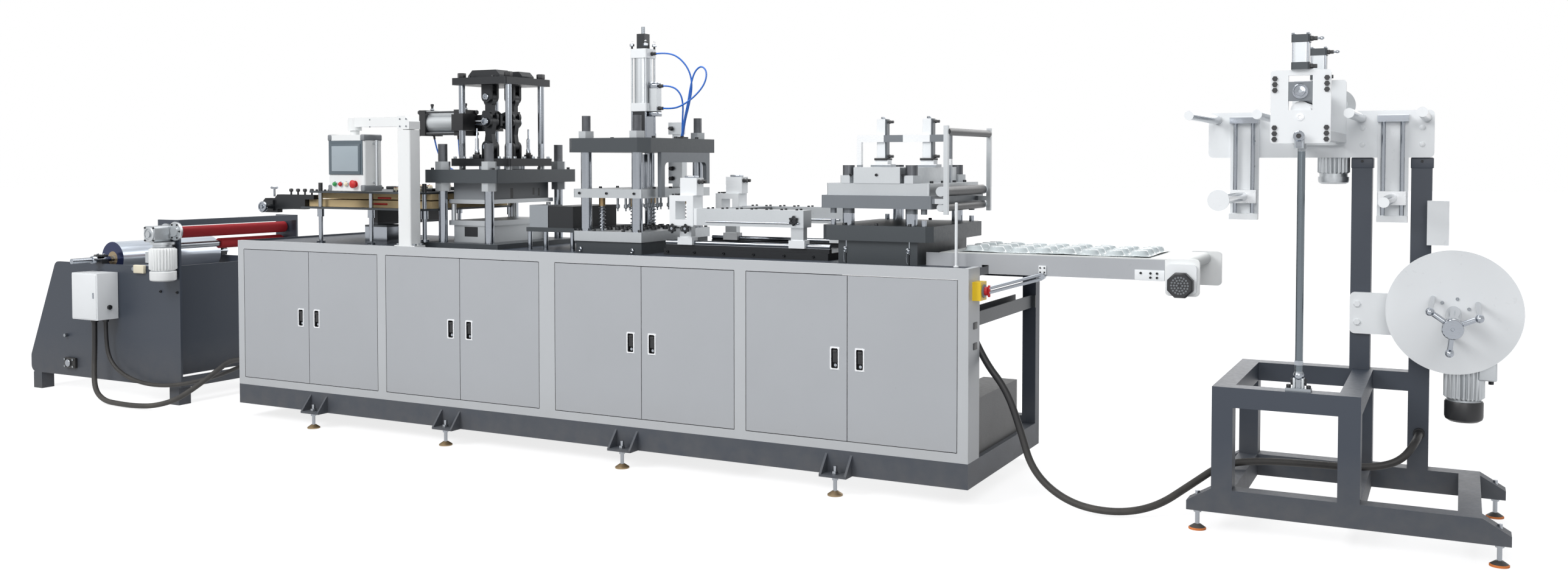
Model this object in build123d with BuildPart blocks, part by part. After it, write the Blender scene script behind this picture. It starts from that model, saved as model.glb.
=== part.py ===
"""Inline thermoforming machine: sheet unwinder, forming line on two cabinets, scrap rewinder.

Millimetres. X runs along the line from the unwinder to the rewinder, Y from the operator's
side (negative) to the rear, Z up from the floor. The origin lies on the floor, in the middle.
"""
import os
from math import cos, radians, sin, tan

from build123d import *

os.makedirs("parts", exist_ok=True)

# Fits and gaps
run_fit = 0.06
plate_corner = 10.0
seam_gap = 3.0
hinge_gap = 0.3
edge_round = 3.0

# Cabinets and base
cab_length = 4000.0
half_length = cab_length / 2
cab_depth = 950.0
base_clear = 75.0
base_height = 100.0
base_wall = 60.0
table_z = 925.0
rim_height = 10.0
table_thick = 32.0
face_thick = 25.0
end_stile = 46.0
mid_stile = 58.0
door_low = 212.0
door_high = 882.0
door_thick = 20.0
post_size = 60.0
corner_return = 130.0
skin = 4.0
handle_width = 40.0
handle_height = 91.0
handle_from_gap = 55.0
handle_z = 545.0
handle_depth = 14.0
handle_ring = 5.0
handle_proud = 3.0
handle_corner = 8.0

# Levelling feet of the cabinets
foot_x = (-1430.0, -570.0, 430.0, 1455.0)
foot_reach = 34.0
stud_radius = 8.0
pad_radius = 31.0
pad_height = 12.0
bracket_width = 120.0
bracket_top_width = 64.0
bracket_thick = 10.0
bracket_reach = 62.0
bracket_height = 84.0

# Heater
heater_x = (-1680.0, -845.0)
heater_half = 290.0
upper_slab_z = (1144.0, 1174.0)
lower_slab_z = (1102.0, 1138.0)
slab_step = 64.0
heater_plate = 10.0
pillar_x = (-1560.0, -1210.0, -858.0)
pillar_y = 326.0
pillar_radius = 11.0
pillar_proud = 52.0

# Feed guide at the inlet
guide_x = (-1995.0, -1700.0)
guide_arm_y = 300.0
guide_arm_thick = 34.0
guide_z = (1086.0, 1162.0)
guide_roll_radius = 19.0
guide_roll_x = -1915.0
guide_hook = 110.0
guide_step = 20.0
guide_round = 4.0

# Pendant with control panel
pendant_x = -875.0
pendant_y = -412.0
pendant_side = 80.0
pendant_top = 1488.0
pendant_arm_z = 1528.0
pendant_arm_side = 46.0
neck_x = -1228.0
neck_radius = 22.0
panel_size = (242.0, 122.0, 276.0)
panel_top = 1466.0
panel_screen = (224.0, 168.0)

# Forming station
form_x = -642.0
form_plate = (450.0, 630.0)
form_plate_z = (1231.0, 1295.0)
form_bar_x = 145.0
form_bar_y = 272.0
form_bar_radius = 22.5
form_bar_top = 1421.0
nut_flats = 66.0
nut_height = 40.0
form_base = (480.0, 660.0)
form_base_height = 24.0
mould_size = (208.0, 480.0)
lower_mould_top = 1046.0
upper_mould_low = 1129.0
mould_wall = 14.0
mould_lip = 22.0
guide_pillar_radius = 12.0

# Toggle press
toggle_plate = (342.0, 356.0)
toggle_plate_z = (1715.0, 1750.0)
toggle_column_x = 147.0
toggle_column_y = 127.0
toggle_column_radius = 16.0
toggle_y = 88.0
toggle_pin_radius = 13.0
toggle_link = 124.0
toggle_pivot_z = 1657.0
toggle_fold = 30.0
link_thick = 30.0
link_half_width = 29.0
lug_thick = 16.0
link_waist = 19.0
saddle_foot = 98.0
saddle_top = 74.0
saddle_step = 14.0
saddle_height = 38.0
saddle_width = 92.0
lug_gap = 1.0
cross_plate = (372.0, 340.0)
cross_plate_z = (1312.0, 1350.0)
plug_rod = (52.0, 96.0)
plug_rod_radius = 12.0
plug_plate_z = (1140.0, 1158.0)
ram_axis_z = toggle_pivot_z - toggle_link
ram_bore_side = 132.0
ram_rear_x = -1129.0
ram_front_x = -857.0
ram_cap = 40.0
ram_rod_radius = 12.5
yoke_root = 82.0
yoke_neck = 18.0
yoke_waist = 4.0
yoke_half = 46.0
yoke_nose = 28.0
yoke_window = (54.0, 26.0)

# Cutting press
cut_x = 210.0
cut_head = (450.0, 650.0)
cut_head_z = (1377.0, 1442.0)
cut_chamfer = 45.0
cut_plate = (376.0, 610.0)
cut_mid_z = (1169.0, 1210.0)
cut_low_z = (970.0, 1016.0)
cut_base = (364.0, 590.0)
cut_column_x = 140.0
cut_column_y = 265.0
cut_column_radius = 25.0
cut_column_top = 1545.0
cut_stroke = 55.0
arch_thick = 20.0
arch_y = (-195.0, 235.0)
arch_bar = 46.0
arch_leg = 30.0
arch_open = 200.0
arch_round = 24.0
arch_short = 56.0
booster_side = 92.0
booster_corner = 10.0
booster_levels = (1572.0, 1610.0, 1823.0, 1866.0)
booster_block_top = 1938.0
booster_rod_top = 1972.0
cut_guide_x = 88.0
cut_guide_y = 215.0

# Transport between the presses
carriage_x = (640.0, 1180.0)
carriage_y = 205.0
beam_z = (1052.0, 1126.0)
beam_wide = 76.0
bed_x = (470.0, 1290.0)
bed_half = 230.0
carriage_stroke = 70.0
rail_z = 972.0

# Stacking press
stack_x = 1544.0
stack_base = (351.0, 590.0)
stack_low = (490.0, 640.0)
stack_low_z = (1010.0, 1073.0)
stack_dark_z = (1143.0, 1197.0)
stack_light = (458.0, 600.0)
stack_light_z = (1197.0, 1246.0)
stack_block = (300.0, 610.0)
stack_block_z = (1246.0, 1311.0)
stack_column_x = 140.0
stack_column_y = 270.0
stack_column_radius = 25.0
stack_column_top = 1320.0
stack_stroke = 40.0
air_cyl_x = (-100.0, 110.0)
air_cyl_side = 46.0
air_cyl_corner = 9.0
air_cyl_top = 1517.0
crossbar_z = (1418.0, 1448.0)
crossbar_x = (-208.0, 222.0)
gate_x = 1845.0
gate_y = (-305.0, 225.0)
gate_z = (1123.0, 1478.0)
gate_side = 18.0
gate_roller_radius = 15.0
gate_roller_z = 1454.0

# Output conveyor
conveyor_in = 260.0
conveyor_out = 790.0
conveyor_x = (half_length - conveyor_in, half_length + conveyor_out)
conveyor_corner = 16.0
conveyor_half = 250.0
conveyor_drop = 54.0
conveyor_z = (890.0, 968.0)
conveyor_wall = 6.0
belt_half = 228.0
belt_radius = 24.0
belt_thick = 4.0

# Unwinder
unw_gap = 536.0
unw_length = 1310.0
unw_x = (-half_length - unw_gap - unw_length, -half_length - unw_gap)
unw_corner = 40.0
unw_y = 410.0
unw_plate = 12.0
unw_low = 95.0
unw_top = 755.0
unw_column = 172.0
unw_column_top = 1016.0
unw_slant_x = unw_x[0] + 240.0
unw_leg = 76.0
roll_x = unw_x[0] + 641.0
roll_z = 779.0
roll_radius = 96.0
roll_half = 330.0
roll_shaft_radius = 15.0
roll_shaft_reach = 172.0
feed_x = unw_x[1] - 92.0
feed_z = 944.0
feed_radius = 32.0
drive_centre = 42.0
control_box = (217.0, 132.0, 260.0, 689.5)
box_bottom_z = 452.0
feed_motor_low = 690.0
feed_motor_radius = 62.0

# Rewinder
rew_gap = 880.0
rew_length = 862.0
rew_x = (half_length + rew_gap, half_length + rew_gap + rew_length)
rew_box_right = rew_x[0] + 491.0
rew_y = 370.0
rew_tube = 72.0
rewinder_foot_out = 52.0
rew_rail_low = (75.0, 160.0)
rew_top = 530.0
rew_post_x = (rew_x[0] + 442.0, rew_x[0] + 650.0)
rew_post_top = 1350.0
long_plate_x = (rew_x[0] - 128.0, rew_x[0] + 692.0)
long_plate_corner = 18.0
long_plate_z = (1350.0, 1530.0)
long_plate_thick = 15.0
idler_x = tuple(rew_x[0] + step for step in (-93.0, 140.0, 439.0, 665.0))
idler_z = 1501.0
idler_radius = 17.0
idler_front = -350.0
slide_x = (rew_x[0] + 13.0, rew_x[0] + 551.0)
slide_rod_gap = 66.0
slide_low = 1104.0
dancer_z = 1196.0
dancer_travel = 240.0
nip_axis_x = rew_x[0] + 287.0
nip_x = (nip_axis_x - 97.0, nip_axis_x + 98.0)
nip_z = (1398.0, 1650.0)
nip_y = -392.0
nip_plate = 16.0
nip_cap = 26.0
nip_top = 1771.0
nip_upper_z = 1577.0
nip_radius = 33.0
nip_lower_z = nip_upper_z - 2 * nip_radius - 0.5
reel_x = rew_x[0] + 766.0
reel_z = 780.0
reel_radius = 229.0
reel_disc_y = 170.0
reel_spider_y = -325.0
reel_bar_circle = 86.0
reel_turns = (24.0, 144.0, 264.0)
reel_bar_radius = 9.0
spider_radius = 9.0
spider_ball = 14.0
spider_hub = (34.0, 40.0)
reel_motor_offset = 38.0
reel_motor_radius = 60.0
reel_motor_z = (372.0, 690.0)

# Conduits and hoses
bend_share = 0.45
conduit_radius = 14.0
drive_conduit_radius = 11.0
hose_radius = 4.0
gland_wall = 6.0
gland_length = 16.0
fitting_wall = 1.5
fitting_length = 28.0
grommet_height = 9.0
conduit_right_route = [
    (1950, -318, 682), (2010, -333, 562), (2110, -340, 450), (2165, -340, 300), (2215, -342, 140),
    (2350, -345, 40), (2520, -335, 17), (2660, -250, 35), (2770, -130, 110), (2870, -20, 180),
    (3010, 35, 192), (3170, 60, 192), (3310, 80, 190), (3420, 100, 200), (3490, 125, 232), (3534, 184, 300),
    (3534, 282, 300),
]
conduit_left_route = [
    (-3133, -500, 436), (-3133, -500, 306), (-3127, -512, 170), (-3080, -540, 60), (-2960, -568, 17),
    (-2820, -586, 17), (-2680, -594, 18), (-2540, -580, 26), (-2410, -545, 62), (-2300, -500, 138),
    (-2200, -452, 222), (-2116, -425, 290), (-2016, -425, 290),
]
drive_conduit_route = [
    (-3090, -462, 436), (-3090, -462, 350), (-3075, -460, 245), (-3018, -457, 178), (-2925, -454, 136),
    (-2820, -452, 113), (-2710, -450, 106), (-2595, -449, 112), (-2480, -445, 128), (-2370, -436, 152),
    (-2265, -420, 180), (-2170, -395, 215), (-2096, -370, 250), (-2016, -370, 250),
]
booster_hose_routes = (
    [(284, 0, 1843), (340, 2, 1846), (400, 12, 1825), (447, 30, 1765), (455, 45, 1690), (430, 55, 1600),
     (400, 65, 1525), (385, 72, 1456)],
    [(322, 0, 1690), (368, 5, 1690), (408, 16, 1655), (412, 32, 1600), (396, 50, 1525), (388, 60, 1456)],
    [(322, 0, 1585), (365, -6, 1582), (420, -10, 1590), (490, -5, 1630), (545, 5, 1690), (555, 12, 1750),
     (520, 20, 1782), (478, 25, 1755), (455, 28, 1690), (438, 32, 1610), (412, 40, 1530), (393, 48, 1456)],
)
forming_hose_routes = (
    [(-1085, 0, 1450), (-1080, 8, 1400), (-1062, 22, 1345), (-1018, 36, 1300), (-950, 46, 1272), (-890, 50, 1263)],
    [(-925, 0, 1450), (-932, 12, 1405), (-945, 30, 1355), (-945, 55, 1300), (-925, 72, 1268), (-890, 78, 1263)],
)

front = -cab_depth / 2
rear = cab_depth / 2
base_top = base_clear + base_height
table_top_z = table_z - rim_height
bay_width = (half_length - 2 * end_stile - mid_stile) / 2
bays = [
    (x, x + bay_width)
    for side in (-half_length, 0.0)
    for x in (side + end_stile, side + end_stile + bay_width + mid_stile)
]
long_plate_y = rew_y - rew_tube - long_plate_thick


def slab(x, y, z, mode=Mode.ADD):
    """A box between pairs of coordinates."""
    centre = ((x[0] + x[1]) / 2, (y[0] + y[1]) / 2, (z[0] + z[1]) / 2)
    with Locations(centre):
        Box(x[1] - x[0], y[1] - y[0], z[1] - z[0], mode=mode)


def about(centre, size):
    """The pair of coordinates of a width laid about its centre."""
    return (centre - size / 2, centre + size / 2)


def plate(x, y, size, z, corner=plate_corner):
    """A flat plate with rounded corners, laid about a centre."""
    with BuildSketch(Plane.XY.offset(z[0])) as outline:
        with Locations((x, y)):
            RectangleRounded(size[0], size[1], corner)
    extrude(outline.sketch, amount=z[1] - z[0])


def upright_plate(x, y, z, corner):
    """A rounded plate standing along the line, between pairs of coordinates."""
    with BuildSketch(Plane.XZ.offset(-y[1])) as outline:
        with Locations(((x[0] + x[1]) / 2, (z[0] + z[1]) / 2)):
            RectangleRounded(x[1] - x[0], z[1] - z[0], corner)
    extrude(outline.sketch, amount=y[1] - y[0])


def motor(at, axis, radius, length):
    """A motor turned from its profile: a domed fan cover, a groove, the body and the flange."""
    upright = Plane(origin=at, x_dir=(1, 0, 0), z_dir=(0, -1, 0) if axis == (0, 0, 1) else (0, 0, 1))
    cover = length * 0.24
    groove = 6.0
    flange = 12.0
    with BuildSketch(upright) as half:
        Polygon(
            (0, 0), (radius * 0.72, 0), (radius * 0.94, radius * 0.10), (radius, radius * 0.28), (radius, cover),
            (radius * 0.9, cover), (radius * 0.9, cover + groove), (radius * 0.97, cover + groove),
            (radius * 0.97, length - 3 * flange), (radius * 0.80, length - 2 * flange),
            (radius * 0.80, length - flange), (radius, length - flange), (radius, length), (0, length), align=None,
        )
    revolve(half.sketch, axis=Axis(at, axis))


def rod(start, axis, radius, length, mode=Mode.ADD):
    """A round bar from a point along an axis."""
    with Locations(Plane(origin=start, z_dir=axis)):
        Cylinder(radius, length, align=(Align.CENTER, Align.CENTER, Align.MIN), mode=mode)


def hex_nut(at, flats, height, bore):
    """A hexagon nut on a vertical bar."""
    with BuildSketch(Plane(origin=at)) as outline:
        RegularPolygon(flats / 2, 6, major_radius=False)
        Circle(bore, mode=Mode.SUBTRACT)
    extrude(outline.sketch, amount=height)


def corners(x, y, dx, dy):
    """Four places about a centre."""
    return [(x + sx * dx, y + sy * dy) for sx in (-1, 1) for sy in (-1, 1)]


def save(part, name):
    """Labels a piece and writes it."""
    part.label = name
    export_step(part, f"parts/{name}.step")


def gland(end, inward, radius, length):
    """A round gland behind the end of a cord, in line with its last run."""
    rod(end, Vector(*end) - Vector(*inward), radius, length)


def cord(points, radius):
    """A cord of straight runs joined by tangent arcs; gives the arcs' radii."""
    spots = [Vector(*point) for point in points]
    runs = [after - before for before, after in zip(spots, spots[1:])]
    radii = [
        bend_share * min(one.length, two.length) / tan(radians(one.get_angle(two)) / 2)
        for one, two in zip(runs, runs[1:])
    ]
    with BuildLine() as route:
        FilletPolyline(*points, radius=radii)
    with BuildSketch(Plane(origin=points[0], z_dir=runs[0])) as section:
        Circle(radius)
    sweep(section.sketch, path=route.wires()[0])
    return radii


def levelling_foot(x, y, top):
    """A pad, its threaded stud and the two nuts that clamp a bracket between them."""
    with BuildSketch(Plane.XZ.offset(-y)) as half:
        Polygon(
            (x, 0), (x + pad_radius, 0), (x + pad_radius, pad_height * 0.45),
            (x + stud_radius * 1.6, pad_height * 1.5), (x, pad_height * 1.5), align=None,
        )
    revolve(half.sketch, axis=Axis((x, y, 0), (0, 0, 1)))
    rod((x, y, pad_height), (0, 0, 1), stud_radius, top - pad_height)


# Base and cabinets
with BuildPart() as base_frame:
    slab((-half_length, half_length), (front, rear), (base_clear, base_top))
    for x0, x1 in ((-half_length, -1000), (-1000, 0), (0, 1000), (1000, half_length)):
        slab(
            (x0 + base_wall * (1 if x0 == -half_length else 0.5), x1 - base_wall * (1 if x1 == half_length else 0.5)),
            (front + base_wall, rear - base_wall), (base_clear, base_top), Mode.SUBTRACT,
        )
    for x in foot_x:
        for side in (-1, 1):
            face = side * cab_depth / 2
            outer = face + side * bracket_reach
            slab(about(x, bracket_width), sorted((face, outer)), (base_clear, base_clear + bracket_thick))
            for lean in (-1, 1):
                with BuildSketch(Plane.YZ.offset(x + lean * (bracket_width / 2 - bracket_thick / 2))):
                    Polygon(
                        (face, base_clear), (outer, base_clear),
                        (outer, base_clear + bracket_thick), (face, base_clear + bracket_height), align=None,
                    )
                extrude(amount=bracket_thick / 2, both=True)
            rod(
                (x, face + side * foot_reach, base_clear), (0, 0, 1), stud_radius + run_fit,
                bracket_thick, Mode.SUBTRACT,
            )
save(base_frame.part, "base_frame")

foot_top = base_clear + bracket_thick + 34
rewinder_foot_y = rew_y - rew_tube / 2
with BuildPart() as levelling_feet:
    for x in foot_x:
        for side in (-1, 1):
            y = side * (cab_depth / 2 + foot_reach)
            levelling_foot(x, y, foot_top)
            hex_nut((x, y, base_clear + bracket_thick), 24, 13, stud_radius - 1)
            hex_nut((x, y, base_clear - 13), 24, 13, stud_radius - 1)
    for x in (rew_x[0] - rewinder_foot_out, rew_x[1] + rewinder_foot_out):
        for y in (-rewinder_foot_y, rewinder_foot_y):
            levelling_foot(x, y, rew_rail_low[0] + 66)
            hex_nut((x, y, rew_rail_low[0] - 13), 24, 13, stud_radius - 1)
save(levelling_feet.part, "levelling_feet")

with BuildPart() as cabinet_face:
    slab((-half_length, half_length), (front, front + face_thick), (base_top, table_z))
    for x0, x1 in bays:
        slab((x0, x1), (front, front + face_thick), (door_low, door_high), Mode.SUBTRACT)
    slab(
        (half_length - face_thick, half_length), (front, front + corner_return), (base_top, table_z),
    )
save(cabinet_face.part, "cabinet_face")

rear_x = (-half_length + post_size / 2, -1000.0, 0.0, 1000.0, half_length - post_size / 2)
with BuildPart() as cabinet_frame:
    for x in rear_x:
        slab(about(x, post_size), (rear - post_size, rear), (base_top, table_z - table_thick - rim_height))
    slab(
        (-half_length, half_length), (rear - post_size, rear),
        (table_z - table_thick - rim_height - post_size, table_z - table_thick - rim_height),
    )
    slab((-half_length, half_length), (rear - post_size, rear), (base_top, base_top + post_size / 2))
    for x in rear_x[1:4]:
        slab(
            about(x, post_size / 2), (front + face_thick, rear - post_size),
            (table_z - table_thick - rim_height - post_size, table_z - table_thick - rim_height),
        )
    slab((-half_length, -half_length + skin), (front + face_thick, rear - post_size), (base_top, table_z))
    for index in range(3):
        slab(
            (rear_x[index] - post_size / 2 + seam_gap, rear_x[index + 1] + post_size / 2 - seam_gap),
            (rear, rear + skin), (base_top + seam_gap, table_z - table_thick - rim_height),
        )
save(cabinet_frame.part, "cabinet_frame")

with BuildPart() as table_top:
    slab(
        (-half_length + skin, half_length - face_thick), (front + face_thick, rear),
        (table_top_z - table_thick, table_top_z),
    )
save(table_top.part, "table_top")

door_width = (bay_width - seam_gap) / 2 - hinge_gap
for index, (x0, x1) in enumerate(bays):
    gap_x = (x0 + x1) / 2
    for side in (-1, 1):
        inner = gap_x + side * seam_gap / 2
        outer = inner + side * door_width
        grip = gap_x + side * handle_from_gap
        with BuildPart() as door:
            slab(
                sorted((inner, outer)), (front, front + door_thick),
                (door_low + seam_gap, door_high - seam_gap),
            )
            with BuildSketch(Plane.XZ.offset(-front + handle_proud)):
                with Locations((grip, handle_z)):
                    RectangleRounded(handle_width, handle_height, handle_corner)
            extrude(amount=-handle_proud)
            with BuildSketch(Plane.XZ.offset(-front + handle_proud)):
                with Locations((grip, handle_z)):
                    RectangleRounded(
                        handle_width - 2 * handle_ring, handle_height - 2 * handle_ring, handle_corner - handle_ring / 2,
                    )
            extrude(amount=-handle_proud - handle_depth, mode=Mode.SUBTRACT)
        save(door.part, f"door_{2 * index + (1 if side < 0 else 2)}")

with BuildPart() as electrical_boxes:
    # cable tray, transformer box and the isolator on the corner return
    tray_y = (front + corner_return + 8, rear - post_size - 8)
    tray_x = half_length - face_thick - 70
    slab((tray_x, half_length - 15), tray_y, (690, 700))
    slab((tray_x, tray_x + 6), tray_y, (690, 745))
    slab((half_length - 21, half_length - 15), tray_y, (690, 745))
    slab((half_length - 170, half_length - 20), (-320, 210), (base_top, 400))
    slab((half_length, half_length + 34), (front + 42, front + 112), (800, 872))
    slab((half_length - 15, half_length), (rear - post_size - 8, rear - post_size), (690, 745))
    # boxes on the unwinder's side and on the rewinder's post
    plate(
        unw_x[0] + control_box[3], -unw_y - control_box[1] / 2, control_box[:2],
        (box_bottom_z, box_bottom_z + control_box[2]), 5,
    )
    slab(
        (rew_post_x[1] + 22, rew_post_x[1] + 96), (rew_y - rew_tube - 70, rew_y - rew_tube), (1022, 1188),
    )
    # glands of the conduits and grommets of the hoses
    for route, radius in (
        (conduit_right_route, conduit_radius), (conduit_left_route, conduit_radius),
        (drive_conduit_route, drive_conduit_radius),
    ):
        for end, inward in ((route[0], route[1]), (route[-1], route[-2])):
            gland(end, inward, radius + gland_wall, gland_length)
    grommet = [route[-1] for route in booster_hose_routes]
    slab(
        (grommet[0][0] - 14, grommet[2][0] + 14), (grommet[2][1] - 12, grommet[0][1] + 12),
        (cut_head_z[1], cut_head_z[1] + grommet_height),
    )
    slab(
        (form_x - form_plate[0] / 2 - 14, form_x - form_plate[0] / 2), (38, 92), about(form_plate_z[0] + 32, 26),
    )
    for route in booster_hose_routes + forming_hose_routes:
        gland(route[-1], route[-2], hose_radius + fitting_wall, grommet_height)
save(electrical_boxes.part, "electrical_boxes")

# Heater and inlet guide
with BuildPart() as heater_slabs:
    slab((heater_x[0] + slab_step, heater_x[1]), (-heater_half, heater_half), upper_slab_z)
    slab(heater_x, (-heater_half, heater_half), lower_slab_z)
save(heater_slabs.part, "heater_slabs")

with BuildPart() as heater_frame:
    reach = pillar_y + 2 * pillar_radius
    slab((heater_x[0] + slab_step, heater_x[1]), (-reach, reach), (upper_slab_z[1], upper_slab_z[1] + heater_plate))
    slab(heater_x, (-reach, reach), (lower_slab_z[0] - heater_plate, lower_slab_z[0]))
    for x in pillar_x:
        for side in (-1, 1):
            rod(
                (x, side * pillar_y, lower_slab_z[0] - heater_plate), (0, 0, 1), pillar_radius,
                upper_slab_z[1] - lower_slab_z[0] + 2 * heater_plate, Mode.SUBTRACT,
            )
save(heater_frame.part, "heater_frame")

with BuildPart() as feed_guide:
    for side in (-1, 1):
        y = side * guide_arm_y
        low, high = guide_z
        inlet = guide_x[0]
        outlet = heater_x[0] - seam_gap
        with BuildSketch(Plane.XZ.offset(-y)) as arm:
            Polygon(
                (inlet, low - guide_step), (inlet + guide_hook, low - guide_step), (inlet + guide_hook, low),
                (outlet, low), (outlet, lower_slab_z[1]), (outlet + slab_step, lower_slab_z[1]),
                (outlet + slab_step, high), (inlet + guide_hook, high), (inlet + guide_hook - guide_step, high - guide_step),
                (inlet + guide_step, high - guide_step), (inlet, high - 2 * guide_step), align=None,
            )
            fillet(arm.vertices(), guide_round)
        extrude(arm.sketch, amount=guide_arm_thick / 2, both=True)
        slab(
            (inlet + guide_step, inlet + guide_hook - guide_step), about(y, guide_arm_thick * 1.7),
            (low - guide_step / 2, high - guide_step * 1.5),
        )
    rod((guide_roll_x, -guide_arm_y, guide_z[0] + 12), (0, 1, 0), guide_roll_radius, 2 * guide_arm_y)
    rod((guide_roll_x, -guide_arm_y - 64, guide_z[0] + 12), (0, 1, 0), 12, 64)
save(feed_guide.part, "feed_guide")

with BuildPart() as film_drive:
    # motor under the heater, and the indexing unit between forming and cutting
    slab((-1330, -1180), (-250, -120), (table_top_z, table_top_z + 96))
    slab((-1300, -1262), (-230, 230), (table_top_z + 96, lower_slab_z[0] - heater_plate))
    slab((-300, -20), (-240, 240), (1002, 1022))
    for x in (-290, -196, -40):
        rod((x, -225, table_top_z), (0, 0, 1), 11, 1002 - table_top_z)
        rod((x, 225, table_top_z), (0, 0, 1), 11, 1002 - table_top_z)
    slab((-285, -175), (-235, -125), (1022, 1128))
    slab((-170, -30), (-235, 120), (1022, 1124))
save(film_drive.part, "film_drive")

# Pendant
with BuildPart() as pendant_post:
    slab(about(pendant_x, 130), about(pendant_y, 74), (table_top_z, table_top_z + 14))
    with BuildSketch(Plane.XY.offset(table_top_z + 14)):
        with Locations((pendant_x, pendant_y)):
            RectangleRounded(pendant_side, pendant_side * 0.92, 8)
    extrude(amount=pendant_top - table_top_z - 14)
save(pendant_post.part, "pendant_post")

with BuildPart() as pendant_arm:
    elbow = pendant_side * 0.94
    with BuildSketch(Plane.XZ.offset(-pendant_y)):
        Polygon(
            (pendant_x + elbow / 2, pendant_top + seam_gap),
            (pendant_x + elbow / 2, pendant_arm_z),
            (pendant_x + elbow / 2 - 26, pendant_arm_z + pendant_arm_side * 0.6),
            (pendant_x - elbow / 2, pendant_arm_z + pendant_arm_side * 0.6),
            (pendant_x - elbow / 2, pendant_top + seam_gap), align=None,
        )
    extrude(amount=elbow / 2, both=True)
    slab(
        (neck_x, pendant_x - elbow / 2), about(pendant_y, pendant_arm_side), about(pendant_arm_z, pendant_arm_side),
    )
    rod((neck_x, pendant_y, panel_top + 22), (0, 0, 1), neck_radius * 1.5, pendant_arm_z + 22 - panel_top - 22)
    rod((pendant_x, pendant_y, pendant_top), (0, 0, 1), 26, seam_gap)
save(pendant_arm.part, "pendant_arm")

panel_y = pendant_y
with BuildPart() as control_panel:
    with BuildSketch(Plane.XY.offset(panel_top - panel_size[2])):
        with Locations((neck_x, panel_y)):
            RectangleRounded(panel_size[0], panel_size[1], 14)
    extrude(amount=panel_size[2])
    rod((neck_x, pendant_y, panel_top), (0, 0, 1), neck_radius, 22 - hinge_gap)
    slab(
        about(neck_x, panel_screen[0]), (panel_y - panel_size[1] / 2 - 4, panel_y),
        (panel_top - 14 - panel_screen[1] - 14, panel_top - 28),
    )
    for side in (-1, 1):
        x = neck_x + side * (panel_size[0] / 2 + 22)
        for z in (panel_top - 42, panel_top - panel_size[2] + 42):
            rod((neck_x, panel_y, z), (side, 0, 0), 5, panel_size[0] / 2 + 22)
        rod((x, panel_y, panel_top - panel_size[2] + 26), (0, 0, 1), 8, panel_size[2] - 52)
save(control_panel.part, "control_panel")

# Forming station
with BuildPart() as forming_plates:
    plate(form_x, 0, form_base, (table_top_z, table_top_z + form_base_height))
    plate(form_x, 0, form_plate, form_plate_z)
    for x, y in corners(form_x, 0, form_bar_x, form_bar_y):
        rod((x, y, form_plate_z[0]), (0, 0, 1), form_bar_radius, form_plate_z[1] - form_plate_z[0], Mode.SUBTRACT)
    for x, y in corners(form_x, 0, *plug_rod):
        rod(
            (x, y, form_plate_z[0]), (0, 0, 1), plug_rod_radius + run_fit,
            form_plate_z[1] - form_plate_z[0], Mode.SUBTRACT,
        )
save(forming_plates.part, "forming_plates")

with BuildPart() as forming_moulds:
    slab(about(form_x, mould_size[0]), about(0, mould_size[1]), (upper_mould_low, form_plate_z[0]))
    slab(
        about(form_x, mould_size[0] + 2 * mould_lip), about(0, mould_size[1] + mould_lip),
        (upper_mould_low, upper_mould_low + 20),
    )
    slab(
        about(form_x, mould_size[0] - 2 * mould_wall), about(0, mould_size[1] - 2 * mould_wall),
        (upper_mould_low, form_plate_z[0]), Mode.SUBTRACT,
    )
    mould_floor = table_top_z + form_base_height
    slab(about(form_x, mould_size[0]), about(0, mould_size[1]), (mould_floor, lower_mould_top - 24))
    slab(
        about(form_x, mould_size[0] + 2 * mould_lip), about(0, mould_size[1] + mould_lip),
        (lower_mould_top - 24, lower_mould_top),
    )
    for x, y in corners(form_x, 0, mould_size[0] / 2 + 6, mould_size[1] / 2 - 6):
        rod((x, y, lower_mould_top), (0, 0, 1), guide_pillar_radius, upper_mould_low - lower_mould_top - seam_gap)
save(forming_moulds.part, "forming_moulds")

# Toggle press
pivot_y = (-toggle_y, toggle_y)
with BuildPart() as toggle_frame:
    plate(form_x, 0, toggle_plate, toggle_plate_z)
    for y in pivot_y:
        with BuildSketch(Plane.XZ.offset(-y)) as saddle:
            Polygon(
                (form_x - saddle_foot, toggle_plate_z[1]), (form_x + saddle_foot, toggle_plate_z[1]),
                (form_x + saddle_foot, toggle_plate_z[1] + saddle_step),
                (form_x + saddle_top, toggle_plate_z[1] + saddle_height),
                (form_x - saddle_top, toggle_plate_z[1] + saddle_height),
                (form_x - saddle_foot, toggle_plate_z[1] + saddle_step), align=None,
            )
        extrude(saddle.sketch, amount=saddle_width / 2, both=True)
        for side in (-1, 1):
            lug_y = y + side * (link_thick / 2 + lug_gap + lug_thick / 2)
            with BuildSketch(Plane.XZ.offset(-lug_y)):
                with Locations((form_x, toggle_pivot_z)):
                    Circle(link_half_width)
                with Locations((form_x, (toggle_pivot_z + toggle_plate_z[0]) / 2)):
                    Rectangle(2 * link_half_width, toggle_plate_z[0] - toggle_pivot_z)
            extrude(amount=lug_thick / 2, both=True)
            rod(
                (form_x, lug_y - lug_thick / 2, toggle_pivot_z), (0, 1, 0), toggle_pin_radius + run_fit,
                lug_thick, Mode.SUBTRACT,
            )
save(toggle_frame.part, "toggle_frame")

knee_z = toggle_pivot_z - toggle_link
foot_z = knee_z - toggle_link


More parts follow.
